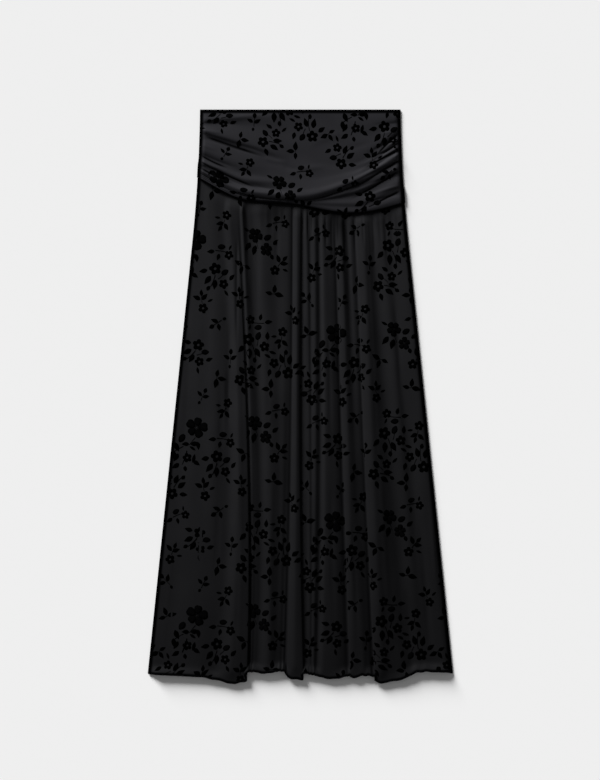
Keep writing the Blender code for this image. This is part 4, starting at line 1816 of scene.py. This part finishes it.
@dataclass(frozen=True)
class ClothFinish:
    """Near-black stretch cloth with a fine knit.

    Its colour falls from upper to lower down the skirt and towards its right side: painted shade,
    as the light falls off away from the waist. It falls to a near-black painted shade wherever a
    panel is drawn dark: along its edges and hem, in creases, at folds' feet and under the band's
    lip. Both are colour, and stay when the light changes.
    """

    name: str
    upper: Colour
    lower: Colour
    painted_shade: Colour = (0.0006, 0.0006, 0.0007)
    upper_y: float = 0.32
    lower_y: float = -0.56
    lean: float = 0.5
    variation: float = 0.16
    roughness: float = 0.62
    gloss: float = 0.04
    pitch: float = 0.0007
    patch: float = 0.035
    relief: float = 0.00003
    relief_strength: float = 0.35

    def make(self, weave: bpy.types.NodeTree) -> bpy.types.Material:
        """Makes the material.

        Args:
            weave: the shared knit group.

        Returns:
            The material.
        """
        material, make, shader = Nodes.material(self.name)
        place = make.add("TexCoord").outputs["Object"]
        knit = make.add("Group", {
            "Threads": make.add("UVMap", uv_map="threads").outputs[0], "Place": place,
            "Pitch": self.pitch, "Patch Size": self.patch,
        }, node_tree=weave)
        # Painted shade: the colour darkens down the skirt and towards its right, as the light falls
        # off.
        parts = make.add("SeparateXYZ", {0: place}).outputs
        leant = make.math("SUBTRACT", parts[1], make.math("MULTIPLY", parts[0], self.lean))
        down = make.add("MapRange", {
            "Value": leant, "From Min": self.upper_y, "From Max": self.lower_y,
        }, interpolation_type="SMOOTHSTEP").outputs[0]
        base = make.blend(down, rgba(self.upper), rgba(self.lower))
        dark, light = (rgba((1.0 + part,) * 3) for part in (-self.variation, self.variation))
        uneven = make.blend(knit.outputs["Tone"], dark, light)
        tone = make.blend(1.0, base, uneven, "MULTIPLY")
        bump = make.add("Bump", {
            "Strength": self.relief_strength, "Distance": self.relief,
            "Height": knit.outputs["Height"],
        })
        # Painted shade from the panel's mask: near black, and without gloss, where a panel is drawn
        # dark.
        strip = make.add("Attribute", attribute_name="painted_shade").outputs["Fac"]
        make.fill(shader, {
            "Base Color": make.blend(strip, tone, rgba(self.painted_shade)),
            "Normal": bump.outputs[0], "Roughness": self.roughness,
            "Specular IOR Level": make.math(
                "MULTIPLY", make.math("SUBTRACT", 1.0, strip), self.gloss
            ),
        })
        return material


@dataclass(frozen=True)
class PileFinish:
    """Dull black fibres: the flock's velvet pile, or a spun thread, with a painted sheen on the
    pile's crown.
    """

    name: str
    dark: Colour
    light: Colour
    scale: float
    depth: float
    painted_sheen: Colour = (0.0011, 0.0011, 0.0012)

    def make(self) -> bpy.types.Material:
        """Makes the material."""
        material, make, shader = Nodes.material(self.name)
        place = make.add("TexCoord").outputs["Object"]
        fibres = make.add("TexNoise", {"Vector": place, "Scale": self.scale, "Detail": 3.0})
        patches = make.add("TexNoise", {"Vector": place, "Scale": self.scale / 12, "Detail": 2.0})
        colour = make.blend(patches.outputs[0], rgba(self.dark), rgba(self.light))
        bump = make.add("Bump", {
            "Strength": 0.5, "Distance": self.depth, "Height": fibres.outputs[0],
        })
        # Painted sheen: the colour lightens towards the pile's crown.
        crown = make.add("Attribute", attribute_name="painted_sheen").outputs["Fac"]
        make.fill(shader, {
            "Base Color": make.blend(crown, colour, rgba(self.painted_sheen)),
            "Normal": bump.outputs[0], "Roughness": 1.0, "Specular IOR Level": 0.0,
        })
        return material


@dataclass(frozen=True)
class FloorFinish:
    """Pale matt paper."""

    name: str = "pale_paper"
    colour: Colour = (0.90, 0.90, 0.90)
    grain: float = 0.006

    def make(self) -> bpy.types.Material:
        """Makes the material."""
        material, make, shader = Nodes.material(self.name)
        place = make.add("TexCoord").outputs["Object"]
        grain = make.add("TexNoise", {"Vector": place, "Scale": 60.0, "Detail": 3.0})
        low = tuple(part * (1 - self.grain) for part in self.colour)
        colour = make.blend(grain.outputs[0], rgba(low), rgba(self.colour))
        make.fill(shader, {"Base Color": colour, "Roughness": 1.0, "Specular IOR Level": 0.0})
        return material


# ---- The skirt and its stage ----


@dataclass
class Skirt:
    """The whole skirt: four panels of cloth, their print and the hem."""

    repeat: Repeat = field(default_factory=Repeat)

    def panels(self) -> list[Panel]:
        """The four panels, the front ones lying on the back ones."""
        return [
            SkirtBack(
                "skirt_back", "skirt_cloth", Relief(SKIRT_BACK_CREASES, BACK_RIPPLES), 130, 150,
                Cut(0.488, 0.797, 0.306, "laid"), (22.0, 70.0), Hem(roll=0.6, thread=0.18),
            ),
            SkirtFront(
                "skirt_front", "skirt_cloth", Relief(FRONT_CREASES, FRONT_RIPPLES), 287, 148,
                Cut(0.558, 0.814, 0.337, "gathered", ("skirt_back_cloth",)), (0.0, 12.0),
                Hem(roll=1.05, thread=0.26),
                side_columns=(0.1, 0.2, 0.3, 0.42, 0.56, 0.72, 1.4, 1.8),
                hem_rows=(0.15, 0.3, 0.5, 0.7, 1.25, 1.5, 1.75, 2.5),
            ),
            BandBack(
                "band_back", "band_cloth", Relief(BAND_BACK_CREASES, BACK_RIPPLES), 110, 50,
                Cut(0.345, 0.166, 0.049, "laid"), (-30.0, 20.0),
            ),
            BandFront(
                "band_front", "band_cloth", Relief(BAND_CREASES, BAND_RIPPLES, BAND_LINES), 210,
                190, Cut(0.354, 0.184, 0.054, "draped", ("band_back_cloth",)), (36.0, -64.0),
            ),
        ]

    def finishes(self) -> dict[str, bpy.types.Material]:
        """Makes the four materials, by slot."""
        weave = weave_group()
        # Painted light and shade: the band is drawn lighter than the skirt though it is the same
        # cloth, and the skirt's colour darkens towards the hem, as the light falls off away from
        # the waist.
        band = (0.0168, 0.0166, 0.0190)
        cloths = (
            ClothFinish("skirt_cloth", (0.0113, 0.0113, 0.0124), (0.0049, 0.0049, 0.0054)),
            ClothFinish("band_cloth", band, band),
        )
        piles = (
            PileFinish("flock", (0.0002,) * 3, (0.0006,) * 3, 2600.0, 0.00005),
            PileFinish(
                "thread", (0.0014, 0.0014, 0.0015), (0.0030, 0.0030, 0.0032), 3400.0, 0.00005
            ),
        )
        made = {finish.name: finish.make(weave) for finish in cloths}
        return made | {finish.name: finish.make() for finish in piles}

    def build(self) -> None:
        """Builds and dresses the skirt, and attaches its pieces to the body."""
        finishes = self.finishes()
        stamps = StampMaker().all()
        for panel in self.panels():
            panel.prepare()
            piece = panel.build(finishes[panel.slot])
            flock = FlockPrint(panel, stamps, self.repeat).build(
                panel.node + "_flock", finishes["flock"]
            )
            with_it = [(flock, "flock")]
            if panel.hem_finish:
                roll, wound = panel.hem_finish.build(
                    panel.node, panel, finishes[panel.slot], finishes["thread"]
                )
                with_it += [(roll, panel.slot), (wound, "thread")]
            for part, slot in ((piece, panel.slot), *with_it):
                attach(part, BODY)
                report(part)
            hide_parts(panel.node)


@dataclass
class Stage:
    """The floor, the light and the camera."""

    floor_half: float = 4.0
    camera_place: tuple[float, float, float] = (-0.0005, 0.0104, 3.0)
    lens: float = 86.5
    sensor: float = 36.0
    sun_height: float = 19.0
    sun_turn: float = 33.0
    sun_strength: float = 7.53
    sun_softness: float = 24.0
    sky: Colour = (0.18, 0.18, 0.18)

    def build_floor(self) -> None:
        """A wide pale floor, at the height the skirt rests on."""
        Bench.clear()
        bpy.ops.mesh.primitive_grid_add(
            x_subdivisions=8, y_subdivisions=8, size=2 * self.floor_half
        )
        floor = bpy.context.object
        floor.name = "floor"
        floor.data.materials.append(FloorFinish().make())

    def build_lights(self) -> None:
        """A low soft light from beyond the waist, to the left, and an even fill."""
        sun = bpy.data.lights.new("window", "SUN")
        sun.energy = self.sun_strength
        sun.angle = math.radians(self.sun_softness)
        lamp = linked("window", sun)
        turn, up = math.radians(self.sun_turn), math.radians(self.sun_height)
        toward = Vector((
            -math.sin(turn) * math.cos(up), math.cos(turn) * math.cos(up), math.sin(up),
        ))
        lamp.rotation_euler = toward.to_track_quat("Z", "Y").to_euler()
        world = bpy.data.worlds.new("studio")
        world.use_nodes = True
        background = world.node_tree.nodes["Background"]
        background.inputs["Color"].default_value = rgba(self.sky)
        background.inputs["Strength"].default_value = 1.0
        bpy.context.scene.world = world

    def build_camera(self) -> None:
        """The camera, straight above the skirt."""
        camera = bpy.data.cameras.new("camera")
        camera.lens = self.lens
        camera.sensor_width = self.sensor
        camera.clip_end = 20.0
        eye = linked("camera", camera)
        eye.location = self.camera_place
        bpy.context.scene.camera = eye

    def build(self) -> None:
        """Builds the stage."""
        self.build_floor()
        self.build_lights()
        self.build_camera()
        bpy.context.scene.view_settings.view_transform = "Standard"


def report(piece: bpy.types.Object) -> None:
    """Logs a piece's name and its size in triangles."""
    triangles = sum(len(face.vertices) - 2 for face in piece.data.polygons)
    log.info("%s: %d triangles", piece.name, triangles)


def main() -> None:
    """Builds the stage and the skirt."""
    logging.basicConfig(level=logging.INFO, format="%(message)s")
    Stage().build()
    Skirt().build()


if __name__ == "__main__":
    main()
